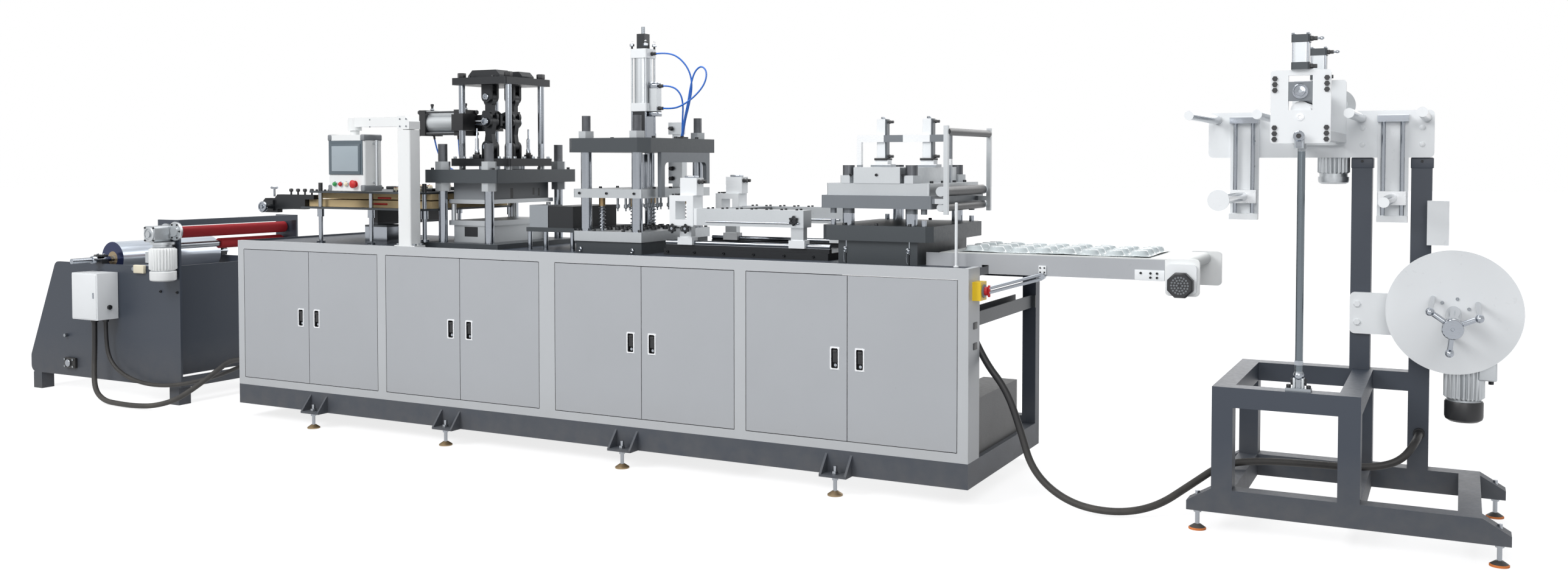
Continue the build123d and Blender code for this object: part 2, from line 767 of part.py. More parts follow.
def link_plate(y, z_high, z_low, thick):
    """A waisted link with round ends, lying in the XZ plane."""
    with BuildSketch(Plane.XZ.offset(-y)) as outline:
        middle = (z_high + z_low) / 2
        Polygon(*[
            (form_x + side * (link_waist if z == middle else link_half_width), z)
            for side, zs in ((-1, (z_low, middle, z_high)), (1, (z_high, middle, z_low))) for z in zs
        ], align=None)
        with Locations((form_x, z_high), (form_x, z_low)):
            Circle(link_half_width)
    extrude(outline.sketch, amount=thick / 2, both=True)


pin_half = link_thick / 2 + lug_gap + lug_thick
with BuildPart() as toggle_upper:
    for y in pivot_y:
        link_plate(y, toggle_pivot_z, toggle_pivot_z - 20, link_thick)
        slab(about(form_x, 40), about(y, link_thick), (knee_z + link_half_width + 4, toggle_pivot_z - 20))
        for side in (-1, 1):
            cheek_y = y + side * (link_thick / 2 + lug_gap + lug_thick / 2)
            link_plate(cheek_y, knee_z + 26, knee_z, lug_thick)
        slab(
            about(form_x, 40), about(y, 2 * pin_half),
            (knee_z + link_half_width + 6, knee_z + link_half_width + 26),
        )
        rod((form_x, y - pin_half, toggle_pivot_z), (0, 1, 0), toggle_pin_radius, 2 * pin_half)
    rod((form_x, -toggle_y - pin_half - 6, knee_z), (0, 1, 0), toggle_pin_radius, 2 * (toggle_y + pin_half + 6))
save(toggle_upper.part, "toggle_upper")

with BuildPart() as toggle_lower:
    for y in pivot_y:
        link_plate(y, knee_z, foot_z, link_thick)
        rod(
            (form_x, y - link_thick / 2, knee_z), (0, 1, 0), toggle_pin_radius + run_fit, link_thick,
            Mode.SUBTRACT,
        )
        rod((form_x, y - pin_half, foot_z), (0, 1, 0), toggle_pin_radius, 2 * pin_half)
save(toggle_lower.part, "toggle_lower")

# How far the press plate's even travel runs ahead of the straight links in mid-stroke
fold = radians(toggle_fold)
toggle_rise = 2 * toggle_link * (1 - cos(fold))
slot_length = 2 * toggle_link * (1 - cos(fold / 2))
slot_length = toggle_rise / 2 - slot_length + 1.0
with BuildPart() as crosshead:
    plate(form_x, 0, cross_plate, cross_plate_z)
    for x, y in corners(form_x, 0, toggle_column_x, toggle_column_y):
        rod(
            (x, y, cross_plate_z[0]), (0, 0, 1), toggle_column_radius + run_fit,
            cross_plate_z[1] - cross_plate_z[0], Mode.SUBTRACT,
        )
    for y in pivot_y:
        for side in (-1, 1):
            lug_y = y + side * (link_thick / 2 + lug_gap + lug_thick / 2)
            with BuildSketch(Plane.XZ.offset(-lug_y)):
                with Locations((form_x, foot_z)):
                    Circle(link_half_width)
                with Locations((form_x, (foot_z + cross_plate_z[1]) / 2)):
                    Rectangle(2 * link_half_width, foot_z - cross_plate_z[1])
                with Locations((form_x, foot_z - slot_length / 2)):
                    SlotCenterToCenter(
                        slot_length, 2 * (toggle_pin_radius + 0.4), rotation=90, mode=Mode.SUBTRACT,
                    )
            extrude(amount=lug_thick / 2, both=True)
    for x, y in corners(form_x, 0, *plug_rod):
        rod(
            (x, y, plug_plate_z[1]), (0, 0, 1), plug_rod_radius, cross_plate_z[0] - plug_plate_z[1],
        )
    slab(
        about(form_x, mould_size[0] - 2 * mould_wall - 24), about(0, mould_size[1] - 2 * mould_wall - 24),
        plug_plate_z,
    )
save(crosshead.part, "forming_crosshead")

with BuildPart() as forming_cylinder:
    for x0 in (ram_rear_x, ram_front_x - ram_cap):
        slab((x0, x0 + ram_cap), about(0, ram_bore_side), about(ram_axis_z, ram_bore_side))
    rod((ram_rear_x + ram_cap, 0, ram_axis_z), (1, 0, 0), ram_bore_side / 2 - 7, ram_front_x - ram_rear_x - 2 * ram_cap)
    for y, z in corners(0, ram_axis_z, ram_bore_side / 2 - 11, ram_bore_side / 2 - 11):
        rod((ram_rear_x, y, z), (1, 0, 0), 6, ram_front_x - ram_rear_x)
    rod(
        (ram_rear_x - 1, 0, ram_axis_z), (1, 0, 0), ram_rod_radius + run_fit, ram_front_x - ram_rear_x + 2,
        Mode.SUBTRACT,
    )
    # cheek plates that carry the cylinder between the two inlet-side columns
    for side in (-1, 1):
        y = side * (ram_bore_side / 2 + 9)
        slab((ram_front_x - ram_cap, form_x - toggle_column_x - 26), about(y, 18), about(ram_axis_z, 84))
        slab(
            about(form_x - toggle_column_x, 58),
            sorted((y - side * 9, side * (toggle_column_y + toggle_column_radius + 12))), about(ram_axis_z, 84),
        )
        rod(
            (form_x - toggle_column_x, side * toggle_column_y, ram_axis_z - 42), (0, 0, 1),
            toggle_column_radius, 84, Mode.SUBTRACT,
        )
    for route in forming_hose_routes:
        gland(route[0], route[1], hose_radius + fitting_wall, fitting_length)
save(forming_cylinder.part, "forming_cylinder")

yoke_slot = toggle_link * (1 - cos(fold))
with BuildPart() as ram_rod:
    rod((ram_rear_x - 36, 0, ram_axis_z), (1, 0, 0), ram_rod_radius, form_x - 80 - ram_rear_x + 36)
    slab((form_x - 86, form_x - 58), about(0, 96), about(ram_axis_z + yoke_slot / 2, 92))
    for side in (-1, 1):
        y = side * 36
        with BuildSketch(Plane.XZ.offset(-y)):
            middle = knee_z + yoke_slot / 2
            Polygon(
                (form_x - yoke_root, middle - yoke_neck), (form_x + yoke_waist, middle - yoke_half),
                (form_x + yoke_nose, middle - yoke_nose), (form_x + yoke_nose, middle + yoke_nose),
                (form_x + yoke_waist, middle + yoke_half), (form_x - yoke_root, middle + yoke_neck), align=None,
            )
            Polygon(
                (form_x - yoke_window[0], middle), (form_x - yoke_window[1], middle - yoke_neck),
                (form_x - yoke_window[1], middle + yoke_neck), align=None, mode=Mode.SUBTRACT,
            )
            with Locations((form_x, knee_z + yoke_slot / 2)):
                SlotCenterToCenter(
                    yoke_slot + 2, 2 * (toggle_pin_radius + 2), rotation=90, mode=Mode.SUBTRACT,
                )
        extrude(amount=8, both=True)
save(ram_rod.part, "ram_rod")

# Cutting press
with BuildPart() as cutting_base:
    plate(cut_x, 0, cut_base, (table_top_z, cut_low_z[0]))
    plate(cut_x, 0, cut_plate, cut_low_z)
    for x, y in corners(cut_x, 0, cut_guide_x, cut_guide_y):
        rod((x, y, cut_low_z[1]), (0, 0, 1), 9, 120)
save(cutting_base.part, "cutting_base")

with BuildPart() as cutting_head:
    with BuildSketch(Plane.XY.offset(cut_head_z[0])):
        with Locations((cut_x, 0)):
            Rectangle(*cut_head)
        chamfer(vertices(), cut_chamfer)
        with Locations(*[(x, y) for x, y in corners(cut_x, 0, cut_column_x, cut_column_y)]):
            Circle(cut_column_radius * 0.8, mode=Mode.SUBTRACT)
    extrude(amount=cut_head_z[1] - cut_head_z[0])
    # arched bracket on the transport's side
    with BuildSketch(Plane.YZ.offset(cut_x + cut_head[0] / 2 - arch_thick)):
        arch_low = cut_mid_z[0] + 4
        with Locations(((arch_y[0] + arch_y[1]) / 2, (arch_low + cut_head_z[0]) / 2)):
            Rectangle(arch_y[1] - arch_y[0], cut_head_z[0] - arch_low)
        with Locations(((arch_y[0] + arch_y[1]) / 2, cut_head_z[0] - arch_bar - arch_open / 2)):
            RectangleRounded(arch_y[1] - arch_y[0] - 2 * arch_leg, arch_open, arch_round, mode=Mode.SUBTRACT)
        with Locations((arch_y[1] - arch_leg / 2, arch_low)):
            Rectangle(arch_leg, 2 * arch_short, mode=Mode.SUBTRACT)
    extrude(amount=arch_thick)
save(cutting_head.part, "cutting_head")

with BuildPart() as cutting_platen:
    plate(cut_x, 0, cut_plate, cut_mid_z)
    for x, y in corners(cut_x, 0, cut_column_x, cut_column_y):
        rod(
            (x, y, cut_mid_z[0]), (0, 0, 1), cut_column_radius + run_fit, cut_mid_z[1] - cut_mid_z[0],
            Mode.SUBTRACT,
        )
    for x, y in corners(cut_x, 0, cut_guide_x, cut_guide_y):
        rod((x, y, cut_mid_z[0] - 40), (0, 0, 1), 15, 40)
        rod((x, y, cut_mid_z[0] - 40), (0, 0, 1), 9 + run_fit, cut_mid_z[1] - cut_mid_z[0] + 40, Mode.SUBTRACT)
    rod((cut_x, 0, cut_mid_z[1]), (0, 0, 1), 22, cut_head_z[0] - cut_mid_z[1] - 8)
save(cutting_platen.part, "cutting_platen")

with BuildPart() as booster_cylinder:
    low, barrel_low, barrel_high, high = booster_levels
    caps = (booster_side, booster_side)
    plate(cut_x, 0, (booster_side * 0.86, booster_side * 0.86), (cut_head_z[1], low), booster_corner)
    plate(cut_x, 0, caps, (low, barrel_low), booster_corner)
    rod((cut_x, 0, barrel_low), (0, 0, 1), booster_side / 2 - 4, barrel_high - barrel_low)
    plate(cut_x, 0, caps, (barrel_high, high), booster_corner)
    for x, y in corners(cut_x, 0, booster_side / 2 - 8, booster_side / 2 - 8):
        rod((x, y, cut_head_z[1]), (0, 0, 1), 5, high + 12 - cut_head_z[1])
    slab(about(cut_x, 44), about(0, 44), (high, booster_block_top))
    rod((cut_x, 0, booster_block_top), (0, 0, 1), 9, booster_rod_top - booster_block_top)
    slab((cut_x + booster_side / 2, cut_x + booster_side / 2 + 42), about(0, 42), (barrel_low - 60, 1700))
    for route in booster_hose_routes:
        gland(route[0], route[1], hose_radius + fitting_wall, fitting_length)
save(booster_cylinder.part, "booster_cylinder")

with BuildPart() as valve_stand:
    slab((150, 190), (352, 386), (table_top_z, 1500))
    slab((130, 210), (346, 392), (1225, 1370))
    slab((130, 200), (346, 392), (1470, 1530))
save(valve_stand.part, "valve_stand")

# Columns of the heater and of the two presses, with their nuts
with BuildPart() as press_columns:
    for index, x in enumerate(pillar_x):
        low = table_top_z + (form_base_height if index == 2 else 0)
        high = upper_slab_z[1] + (heater_plate if index == 1 else pillar_proud)
        for side in (-1, 1):
            rod((x, side * pillar_y, low), (0, 0, 1), pillar_radius, high - low)
            rod((x, side * pillar_y, low), (0, 0, 1), pillar_radius * 2, 14)
            rod(
                (x, side * pillar_y, lower_slab_z[0] - heater_plate - 40), (0, 0, 1), pillar_radius * 1.6, 40,
            )
    bar_low = table_top_z + form_base_height
    for x, y in corners(form_x, 0, form_bar_x, form_bar_y):
        rod((x, y, bar_low), (0, 0, 1), form_bar_radius, form_bar_top - bar_low)
        hex_nut((x, y, form_plate_z[1]), nut_flats, nut_height, form_bar_radius - 1)
        hex_nut((x, y, form_plate_z[0] - nut_height), nut_flats, nut_height, form_bar_radius - 1)
    for x, y in corners(form_x, 0, toggle_column_x, toggle_column_y):
        rod(
            (x, y, form_plate_z[1]), (0, 0, 1), toggle_column_radius, toggle_plate_z[0] - form_plate_z[1],
        )
        rod((x, y, toggle_plate_z[1]), (0, 0, 1), toggle_column_radius * 0.9, 22)
    for x, y in corners(cut_x, 0, cut_column_x, cut_column_y):
        rod((x, y, cut_low_z[1]), (0, 0, 1), cut_column_radius, cut_head_z[0] - cut_low_z[1])
        rod((x, y, cut_head_z[0]), (0, 0, 1), cut_column_radius * 0.8, cut_column_top - cut_head_z[0])
        hex_nut((x, y, cut_head_z[1]), nut_flats, nut_height * 0.8, cut_column_radius * 0.8 - 1)
save(press_columns.part, "press_columns")

# Transport
with BuildPart() as transport_bed:
    slab(bed_x, (-bed_half, bed_half), (table_top_z, table_top_z + 30))
    for side in (-1, 1):
        y = side * (bed_half - 25)
        slab(bed_x, about(y, 24), (table_top_z + 30, rail_z - 10))
        rod((bed_x[0], y, rail_z), (1, 0, 0), 10, bed_x[1] - bed_x[0])
        slab(bed_x, about(y, 12), (rail_z - 10, rail_z))
save(transport_bed.part, "transport_bed")

with BuildPart() as transport_carriage:
    for side in (-1, 1):
        y = side * (bed_half - 25)
        for x in (carriage_x[0] - 60, carriage_x[1] - 40):
            slab(about(x, 76), about(y, 50), (rail_z - 9, rail_z + 24))
            rod((x - 39, y, rail_z), (1, 0, 0), 10 + run_fit, 78, Mode.SUBTRACT)
            slab(about(x, 78), about(y, 14), (rail_z - 10, rail_z), Mode.SUBTRACT)
            slab(about(x, 60), about(y, 36), (rail_z + 24, beam_z[0]))
        slab((carriage_x[0] - 100, carriage_x[1]), about(y, beam_wide), beam_z)
        slab((carriage_x[0] - 130, carriage_x[0] - 6), about(y, 84), (beam_z[0] - 8, 1184))
        slab(
            (carriage_x[0] - 98, carriage_x[0] - 40), (y - 43, y + 43), (beam_z[0] + 24, 1158), Mode.SUBTRACT,
        )
        slab((carriage_x[0] - 80, carriage_x[0] + 6), about(y, 60), (1184, 1262))
    slab((carriage_x[0] + 60, carriage_x[0] + 170), (-bed_half + 25, bed_half - 25), beam_z)
save(transport_carriage.part, "transport_carriage")

# Stacking press
with BuildPart() as stacking_base:
    slab(about(stack_x, stack_base[0]), about(0, stack_base[1]), (table_top_z, stack_low_z[0]))
    with BuildSketch(Plane.XY.offset(stack_low_z[0])):
        with Locations((stack_x, 0)):
            Rectangle(*stack_low)
        chamfer(vertices(), 26)
    extrude(amount=stack_low_z[1] - stack_low_z[0])
    for x, y in corners(stack_x, 0, stack_column_x, stack_column_y):
        rod(
            (x, y, table_top_z), (0, 0, 1), stack_column_radius + run_fit, stack_low_z[1] - table_top_z,
            Mode.SUBTRACT,
        )
    for x, y in corners(stack_x, 0, stack_low[0] / 2 - 44, stack_low[1] / 2 - 32):
        rod((x, y, stack_low_z[1]), (0, 0, 1), 11, stack_dark_z[0] - stack_low_z[1] - stack_stroke - 6)
save(stacking_base.part, "stacking_base")

with BuildPart() as stacking_platen:
    plate(stack_x, 0, stack_low, stack_dark_z)
    plate(stack_x, 0, stack_light, stack_light_z)
    slab(about(stack_x, stack_block[0]), about(0, stack_block[1]), stack_block_z)
    for x, y in corners(stack_x, 0, stack_column_x, stack_column_y):
        slab(about(x, nut_flats + 8), about(y, nut_flats + 8), stack_block_z, Mode.SUBTRACT)
        rod(
            (x, y, table_top_z + stack_stroke + 4), (0, 0, 1), stack_column_radius,
            stack_column_top - table_top_z - stack_stroke - 4,
        )
        hex_nut((x, y, stack_light_z[1]), nut_flats, nut_height * 0.8, stack_column_radius - 2)
    for x, y in corners(stack_x, 0, stack_low[0] / 2 - 44, stack_low[1] / 2 - 32):
        rod((x, y, stack_dark_z[0] - 22), (0, 0, 1), 13, 22)
        rod((x, y, stack_dark_z[0] - 22), (0, 0, 1), 11 + run_fit, 22 + stack_stroke, Mode.SUBTRACT)
    # gate carried on the discharge side
    for y in gate_y:
        slab(about(gate_x, gate_side), about(y, gate_side), gate_z)
    plate_edge = stack_x + stack_low[0] / 2
    for y in gate_y:
        slab((plate_edge, gate_x - gate_side / 2), about(y, gate_side), about(1176, 20))
    gate_span = gate_y[1] - gate_y[0]
    rod((gate_x - 24, gate_y[0], 1215), (0, 1, 0), 20, gate_span)
    rod((gate_x - 24, gate_y[0], 1150), (0, 1, 0), 16, gate_span)
save(stacking_platen.part, "stacking_platen")

with BuildPart() as stacking_cylinders:
    for offset in air_cyl_x:
        x = stack_x + offset
        slab(about(x, 92), about(0, 60), (stack_block_z[1], stack_block_z[1] + 12))
        slab(about(x, 60), about(0, 46), (stack_block_z[1] + 12, stack_block_z[1] + 34))
        plate(x, 0, (air_cyl_side, air_cyl_side), (stack_block_z[1] + 34, air_cyl_top), air_cyl_corner)
    slab(
        (stack_x + crossbar_x[0], stack_x + crossbar_x[1]), (-air_cyl_side / 2 - 14, -air_cyl_side / 2), crossbar_z,
    )
    for offset in crossbar_x:
        inward = 10 if offset < 0 else -10
        x = stack_x + offset + inward
        slab(about(x, 20), (-air_cyl_side / 2 - 14, -air_cyl_side / 2 + 6), (stack_block_z[0], crossbar_z[1]))
save(stacking_cylinders.part, "stacking_cylinders")

with BuildPart() as gate_roller:
    clear = gate_side / 2 + hinge_gap
    rod((gate_x, gate_y[0] + clear, gate_roller_z), (0, 1, 0), gate_roller_radius, gate_y[1] - gate_y[0] - 2 * clear)
save(gate_roller.part, "gate_roller")

# Output conveyor
with BuildPart() as conveyor_frame:
    for side in (-1, 1):
        y = side * (conveyor_half - conveyor_wall / 2)
        slab((half_length + 4, conveyor_x[1] - 70), about(y, conveyor_wall), conveyor_z)
        slab((conveyor_x[0], half_length + 4), about(y, conveyor_wall), (table_z, conveyor_z[1]))
        slab((conveyor_x[0], half_length - face_thick), about(y, conveyor_wall), (table_top_z, conveyor_z[1]))
        upright_plate(
            (conveyor_x[1] - 100, conveyor_x[1] + 24),
            sorted((side * (conveyor_half - conveyor_wall), side * (conveyor_half + conveyor_wall))),
            (conveyor_z[0] - conveyor_drop, conveyor_z[1] + 6), conveyor_corner,
        )
    for x, z in (
        (conveyor_x[0] + 60, table_top_z), (half_length - 120, table_top_z), (conveyor_x[1] - 180, conveyor_z[0]),
    ):
        slab(about(x, 50), (-conveyor_half + conveyor_wall, conveyor_half - conveyor_wall), (z, z + 5))
save(conveyor_frame.part, "conveyor_frame")

belt_z = conveyor_z[1] - belt_radius + 2
with BuildPart() as conveyor_belt:
    belt_ends = (conveyor_x[0] + 60, conveyor_x[1] - 40)
    with BuildSketch(Plane.XZ.offset(-belt_half)):
        with Locations(((belt_ends[0] + belt_ends[1]) / 2, belt_z)):
            SlotCenterToCenter(belt_ends[1] - belt_ends[0], 2 * belt_radius)
            SlotCenterToCenter(belt_ends[1] - belt_ends[0], 2 * (belt_radius - belt_thick), mode=Mode.SUBTRACT)
    extrude(amount=2 * belt_half)
    for x in belt_ends:
        rod((x, -belt_half, belt_z), (0, 1, 0), belt_radius - belt_thick, 2 * belt_half)
        rod((x, -conveyor_half + conveyor_wall, belt_z), (0, 1, 0), 8, 2 * (conveyor_half - conveyor_wall))
save(conveyor_belt.part, "conveyor_belt")

# Unwinder
with BuildPart() as unwinder_frame:
    for side in (-1, 1):
        with BuildSketch(Plane.XZ.offset(-side * (unw_y - unw_plate / 2))):
            with BuildLine():
                Polyline(
                    (unw_x[0], unw_low), (unw_x[1], unw_low), (unw_x[1], unw_column_top),
                    (unw_x[1] - unw_column, unw_column_top), (unw_x[1] - unw_column, unw_top),
                    (unw_slant_x, unw_top), (unw_x[0], unw_low + 100), close=True,
                )
            cheek = make_face()
            fillet(cheek.vertices().sort_by(Axis.X)[:3], unw_corner)
        extrude(amount=unw_plate / 2, both=True)
    inner = unw_y - unw_plate
    slab((unw_x[1] - 40, unw_x[1]), (-inner, inner), (unw_column_top - 32, unw_column_top))
    slab((unw_x[1] - 66, unw_x[1] - 6), (-inner, inner), (unw_low, unw_low + 50))
    slab((unw_x[0] + 60, unw_x[0] + 120), (-inner, inner), (unw_low + 30, unw_low + 90))
    slab((unw_x[1] - 136, unw_x[1] - 124), (-inner, inner), (unw_low + 50, unw_top))
    slab((unw_slant_x + 30, unw_slant_x + 80), (-inner, inner), (unw_top - 110, unw_top - 60))
    for x in (unw_x[0] + 20, unw_x[1] - 20 - unw_leg):
        for side in (-1, 1):
            slab((x, x + unw_leg), sorted((side * unw_y, side * (unw_y - unw_leg))), (0, unw_low))
    # cradles for the roll's shaft
    for side in (-1, 1):
        y = side * (unw_y - unw_plate / 2)
        slab(about(roll_x, 74), about(y, 40), (unw_top, roll_z))
        rod((roll_x, y - 20, roll_z), (0, 1, 0), roll_shaft_radius + run_fit, 40, Mode.SUBTRACT)
    for side in (-1, 1):
        y = side * (unw_y - unw_plate / 2)
        rod((feed_x, y - 10, feed_z), (0, 1, 0), 12 + run_fit, 20, Mode.SUBTRACT)
save(unwinder_frame.part, "unwinder_frame")

with BuildPart() as film_roll:
    rod((roll_x, -roll_half, roll_z), (0, 1, 0), roll_radius, 2 * roll_half)
    rod((roll_x, -unw_y - roll_shaft_reach, roll_z), (0, 1, 0), roll_shaft_radius, 2 * unw_y + roll_shaft_reach + 40)
save(film_roll.part, "film_roll")

with BuildPart() as feed_roller:
    roller_half = unw_y - unw_plate - 12
    rod((feed_x, -roller_half, feed_z), (0, 1, 0), feed_radius, 2 * roller_half)
    rod((feed_x, -unw_y - 6, feed_z), (0, 1, 0), 12, 2 * unw_y + 12)
save(feed_roller.part, "feed_roller")

with BuildPart() as press_roller:
    rod((feed_x - 24, -inner + hinge_gap, 868), (0, 1, 0), 18, 2 * (inner - hinge_gap))
    rod((feed_x - 24, -60, 868), (0, 1, 0), 29, inner + 40)
save(press_roller.part, "press_roller")

with BuildPart() as gearmotors:
    rod((feed_x, -unw_y - 14, feed_z), (0, 1, 0), 52, 14)
    rod((feed_x, -unw_y - 14, feed_z), (0, 1, 0), 12 + 1, 14, Mode.SUBTRACT)
    upright_plate((feed_x - 46, feed_x + 42), (-unw_y - 112, -unw_y - 14), (feed_z - 46, feed_z + 42), 14)
    motor_x = feed_x + drive_centre
    motor((motor_x, -unw_y - 64, feed_motor_low), (0, 0, 1), feed_motor_radius, feed_z - 46 - feed_motor_low)
    slab((motor_x - 104, motor_x - 52), about(-unw_y - 64, 60), (785, 843))
    # conveyor
    end_wall = conveyor_half + conveyor_wall
    upright_plate((conveyor_x[1] - 92, conveyor_x[1] + 16), (-end_wall - 16, -end_wall), (846, 956), conveyor_corner)
    rod((conveyor_x[1] - 38, -end_wall + 2 * conveyor_wall, 862), (0, 1, 0), 33, 170)
    # nip rollers
    nip_drive_y = long_plate_y + long_plate_thick
    upright_plate((nip_axis_x - 47, nip_axis_x + 95), (nip_drive_y, nip_drive_y + 90), (1440, 1530), 14)
    motor((nip_axis_x + 49, nip_drive_y + 60, 1250), (0, 0, 1), 52, 190)
    # reel
    upright_plate(
        (rew_post_x[0] - rew_tube / 2, reel_x + 60), (long_plate_y, long_plate_y + long_plate_thick), (670, 830),
        long_plate_corner,
    )
    upright_plate((reel_x - 54, reel_x + 54), (reel_disc_y + 26, long_plate_y), (reel_motor_z[1], 834), 16)
    rod((reel_x, reel_disc_y + 26, reel_z), (0, 1, 0), 24 + run_fit, 80, Mode.SUBTRACT)
    motor(
        (reel_x + reel_motor_offset, long_plate_y - 33, reel_motor_z[0]), (0, 0, 1), reel_motor_radius,
        reel_motor_z[1] - reel_motor_z[0],
    )
save(gearmotors.part, "gearmotors")

# Rewinder
rail = rew_tube
with BuildPart() as rewinder_frame:
    box_right = rew_box_right
    for y in (-rew_y, rew_y - rail):
        slab(rew_x, (y, y + rail), rew_rail_low)
        for x in (rew_x[0], box_right - rail):
            slab((x, x + rail), (y, y + rail), (rew_rail_low[0], rew_top))
        slab((rew_x[0], box_right), (y, y + rail), (rew_top - rail, rew_top))
    for x in (rew_x[0], box_right - rail, rew_x[1] - rail):
        slab((x, x + rail), (-rew_y, rew_y), rew_rail_low)
    for x in (rew_x[0], box_right - rail):
        slab((x, x + rail), (-rew_y, rew_y), (rew_top - rail, rew_top))
    for x in rew_post_x:
        slab(about(x, rail), (rew_y - rail, rew_y), (rew_rail_low[0], rew_post_top))
    slab((box_right - rail, rew_post_x[1]), (rew_y - rail, rew_y), (rew_top - rail, rew_top))
    for x, side in ((rew_x[0], -1), (rew_x[1], 1)):
        for y in (-rew_y, rew_y - rail):
            with BuildSketch(Plane.XZ.offset(-y - rail)):
                Polygon(
                    (x, rew_rail_low[0]), (x + side * 86, rew_rail_low[0]), (x + side * 86, rew_rail_low[0] + 34),
                    (x, rew_rail_low[1]), align=None,
                )
            extrude(amount=rail)
            rod((x + side * rewinder_foot_out, y + rail / 2, rew_rail_low[0]), (0, 0, 1), 8 + run_fit, 80, Mode.SUBTRACT)
save(rewinder_frame.part, "rewinder_frame")

plate_y = (long_plate_y, long_plate_y + long_plate_thick)
with BuildPart() as rewinder_plate:
    upright_plate(long_plate_x, plate_y, long_plate_z, long_plate_corner)
    for x in slide_x:
        slab(about(x, 108), (plate_y[0] - 10, plate_y[0]), (slide_low, long_plate_z[1] - 16))
        for z in (slide_low, long_plate_z[1] - 44):
            slab(about(x, 108), (plate_y[0] - 44, plate_y[0] - 10), (z, z + 24))
        for side in (-1, 1):
            rod((x + side * slide_rod_gap / 2, plate_y[0] - 28, slide_low), (0, 0, 1), 8, long_plate_z[1] - 24 - slide_low)
    for x in idler_x:
        rod((x, idler_front, idler_z), (0, 1, 0), idler_radius, plate_y[0] - idler_front)
save(rewinder_plate.part, "rewinder_plate")

for name, x, radius in (("dancer_left", slide_x[0], 18.0), ("dancer_right", slide_x[1], 18.0)):
    with BuildPart() as dancer:
        slab(about(x, 96), (plate_y[0] - 46, plate_y[0] - 12), about(dancer_z, 52))
        for side in (-1, 1):
            rod(
                (x + side * slide_rod_gap / 2, plate_y[0] - 28, dancer_z - 27), (0, 0, 1), 8 + run_fit, 54,
                Mode.SUBTRACT,
            )
        rod((x, idler_front, dancer_z), (0, 1, 0), radius, plate_y[0] - 46 - idler_front)
        if name == "dancer_left":
            rod((x, idler_front - 10, dancer_z), (0, 1, 0), 38, 10)
    save(dancer.part, name)

nip_journal = 12.0
nip_rear_y = plate_y[0] - nip_plate
with BuildPart() as nip_frame:
    for y in (nip_y, nip_rear_y):
        upright_plate(nip_x, (y, y + nip_plate), nip_z, plate_corner)
        slab(about(nip_axis_x, 78), (y - 1, y + nip_plate + 1), (1512, 1632), Mode.SUBTRACT)
        slab(about(nip_axis_x, 78), (y, y + nip_plate), about(nip_upper_z, 66))
        rod((nip_axis_x, y - 1, nip_upper_z), (0, 1, 0), nip_journal + run_fit, nip_plate + 2, Mode.SUBTRACT)
    for x in (nip_x[0], nip_x[1] - 40):
        slab((x, x + 40), (nip_y + nip_plate, nip_rear_y), (1408, 1440))
    for y in (nip_y - 20, nip_rear_y - 44):
        for size, z in (
            ((60, 64), (nip_z[1], nip_z[1] + nip_cap)), ((52, 56), (nip_z[1] + nip_cap, nip_top - nip_cap)),
            ((60, 64), (nip_top - nip_cap, nip_top)),
        ):
            plate(nip_axis_x, y + 32, size, z, plate_corner - 1)
    rod((nip_axis_x, nip_y + nip_plate, nip_lower_z), (0, 1, 0), nip_radius, nip_rear_y - nip_y - nip_plate)
save(nip_frame.part, "nip_frame")

with BuildPart() as nip_roller:
    rod((nip_axis_x, nip_y - 8, nip_upper_z), (0, 1, 0), nip_journal, nip_rear_y + nip_plate - nip_y + 8)
    rod(
        (nip_axis_x, nip_y + nip_plate + 4, nip_upper_z), (0, 1, 0), nip_radius,
        nip_rear_y - nip_y - nip_plate - 8,
    )
save(nip_roller.part, "nip_roller")

with BuildPart() as tension_rod:
    clevis_y = -rew_y + rail / 2
    slab(about(nip_axis_x, 84), about(clevis_y, 44), (rew_top, rew_top + 12))
    slab(about(nip_axis_x, 16), about(clevis_y, 24), (rew_top + 12, rew_top + 44))
    rod((nip_axis_x, clevis_y, rew_top + 44), (0, 0, 1), 13, 1380 - rew_top - 44)
    with Locations((nip_axis_x, clevis_y, rew_top + 56)):
        Sphere(18)
    slab(about(nip_axis_x, 30), (nip_y - 24, clevis_y + 6), (1380, nip_z[0] - 2))
    slab(about(nip_axis_x, 30), (nip_y - 24, nip_y), (1380, 1424))
save(tension_rod.part, "tension_rod")

with BuildPart() as reel:
    rod((reel_x, reel_disc_y, reel_z), (0, 1, 0), reel_radius, 6)
    rod((reel_x, reel_spider_y - 40, reel_z), (0, 1, 0), 24, reel_disc_y - reel_spider_y + 40 + 90)
    for turn in reel_turns:
        out = (cos(radians(turn)), sin(radians(turn)))
        bar = (reel_x + reel_bar_circle * out[0], reel_z + reel_bar_circle * out[1])
        rod((bar[0], reel_spider_y, bar[1]), (0, 1, 0), reel_bar_radius, reel_disc_y - reel_spider_y)
        rod((reel_x, reel_spider_y, reel_z), (out[0], 0, out[1]), spider_radius, reel_bar_circle)
        rod((bar[0], reel_spider_y - spider_ball, bar[1]), (0, 1, 0), spider_ball, 2 * spider_ball)
    rod((reel_x, reel_spider_y - spider_hub[1] / 2, reel_z), (0, 1, 0), *spider_hub)
save(reel.part, "reel")

# Conduits and hoses
with BuildPart() as conduit_right:
    print("conduit_right", [round(value) for value in cord(conduit_right_route, conduit_radius)])
save(conduit_right.part, "conduit_right")

with BuildPart() as conduit_left:
    print("conduit_left", [round(value) for value in cord(conduit_left_route, conduit_radius)])
    print("drive conduit", [round(value) for value in cord(drive_conduit_route, drive_conduit_radius)])
save(conduit_left.part, "conduit_left")

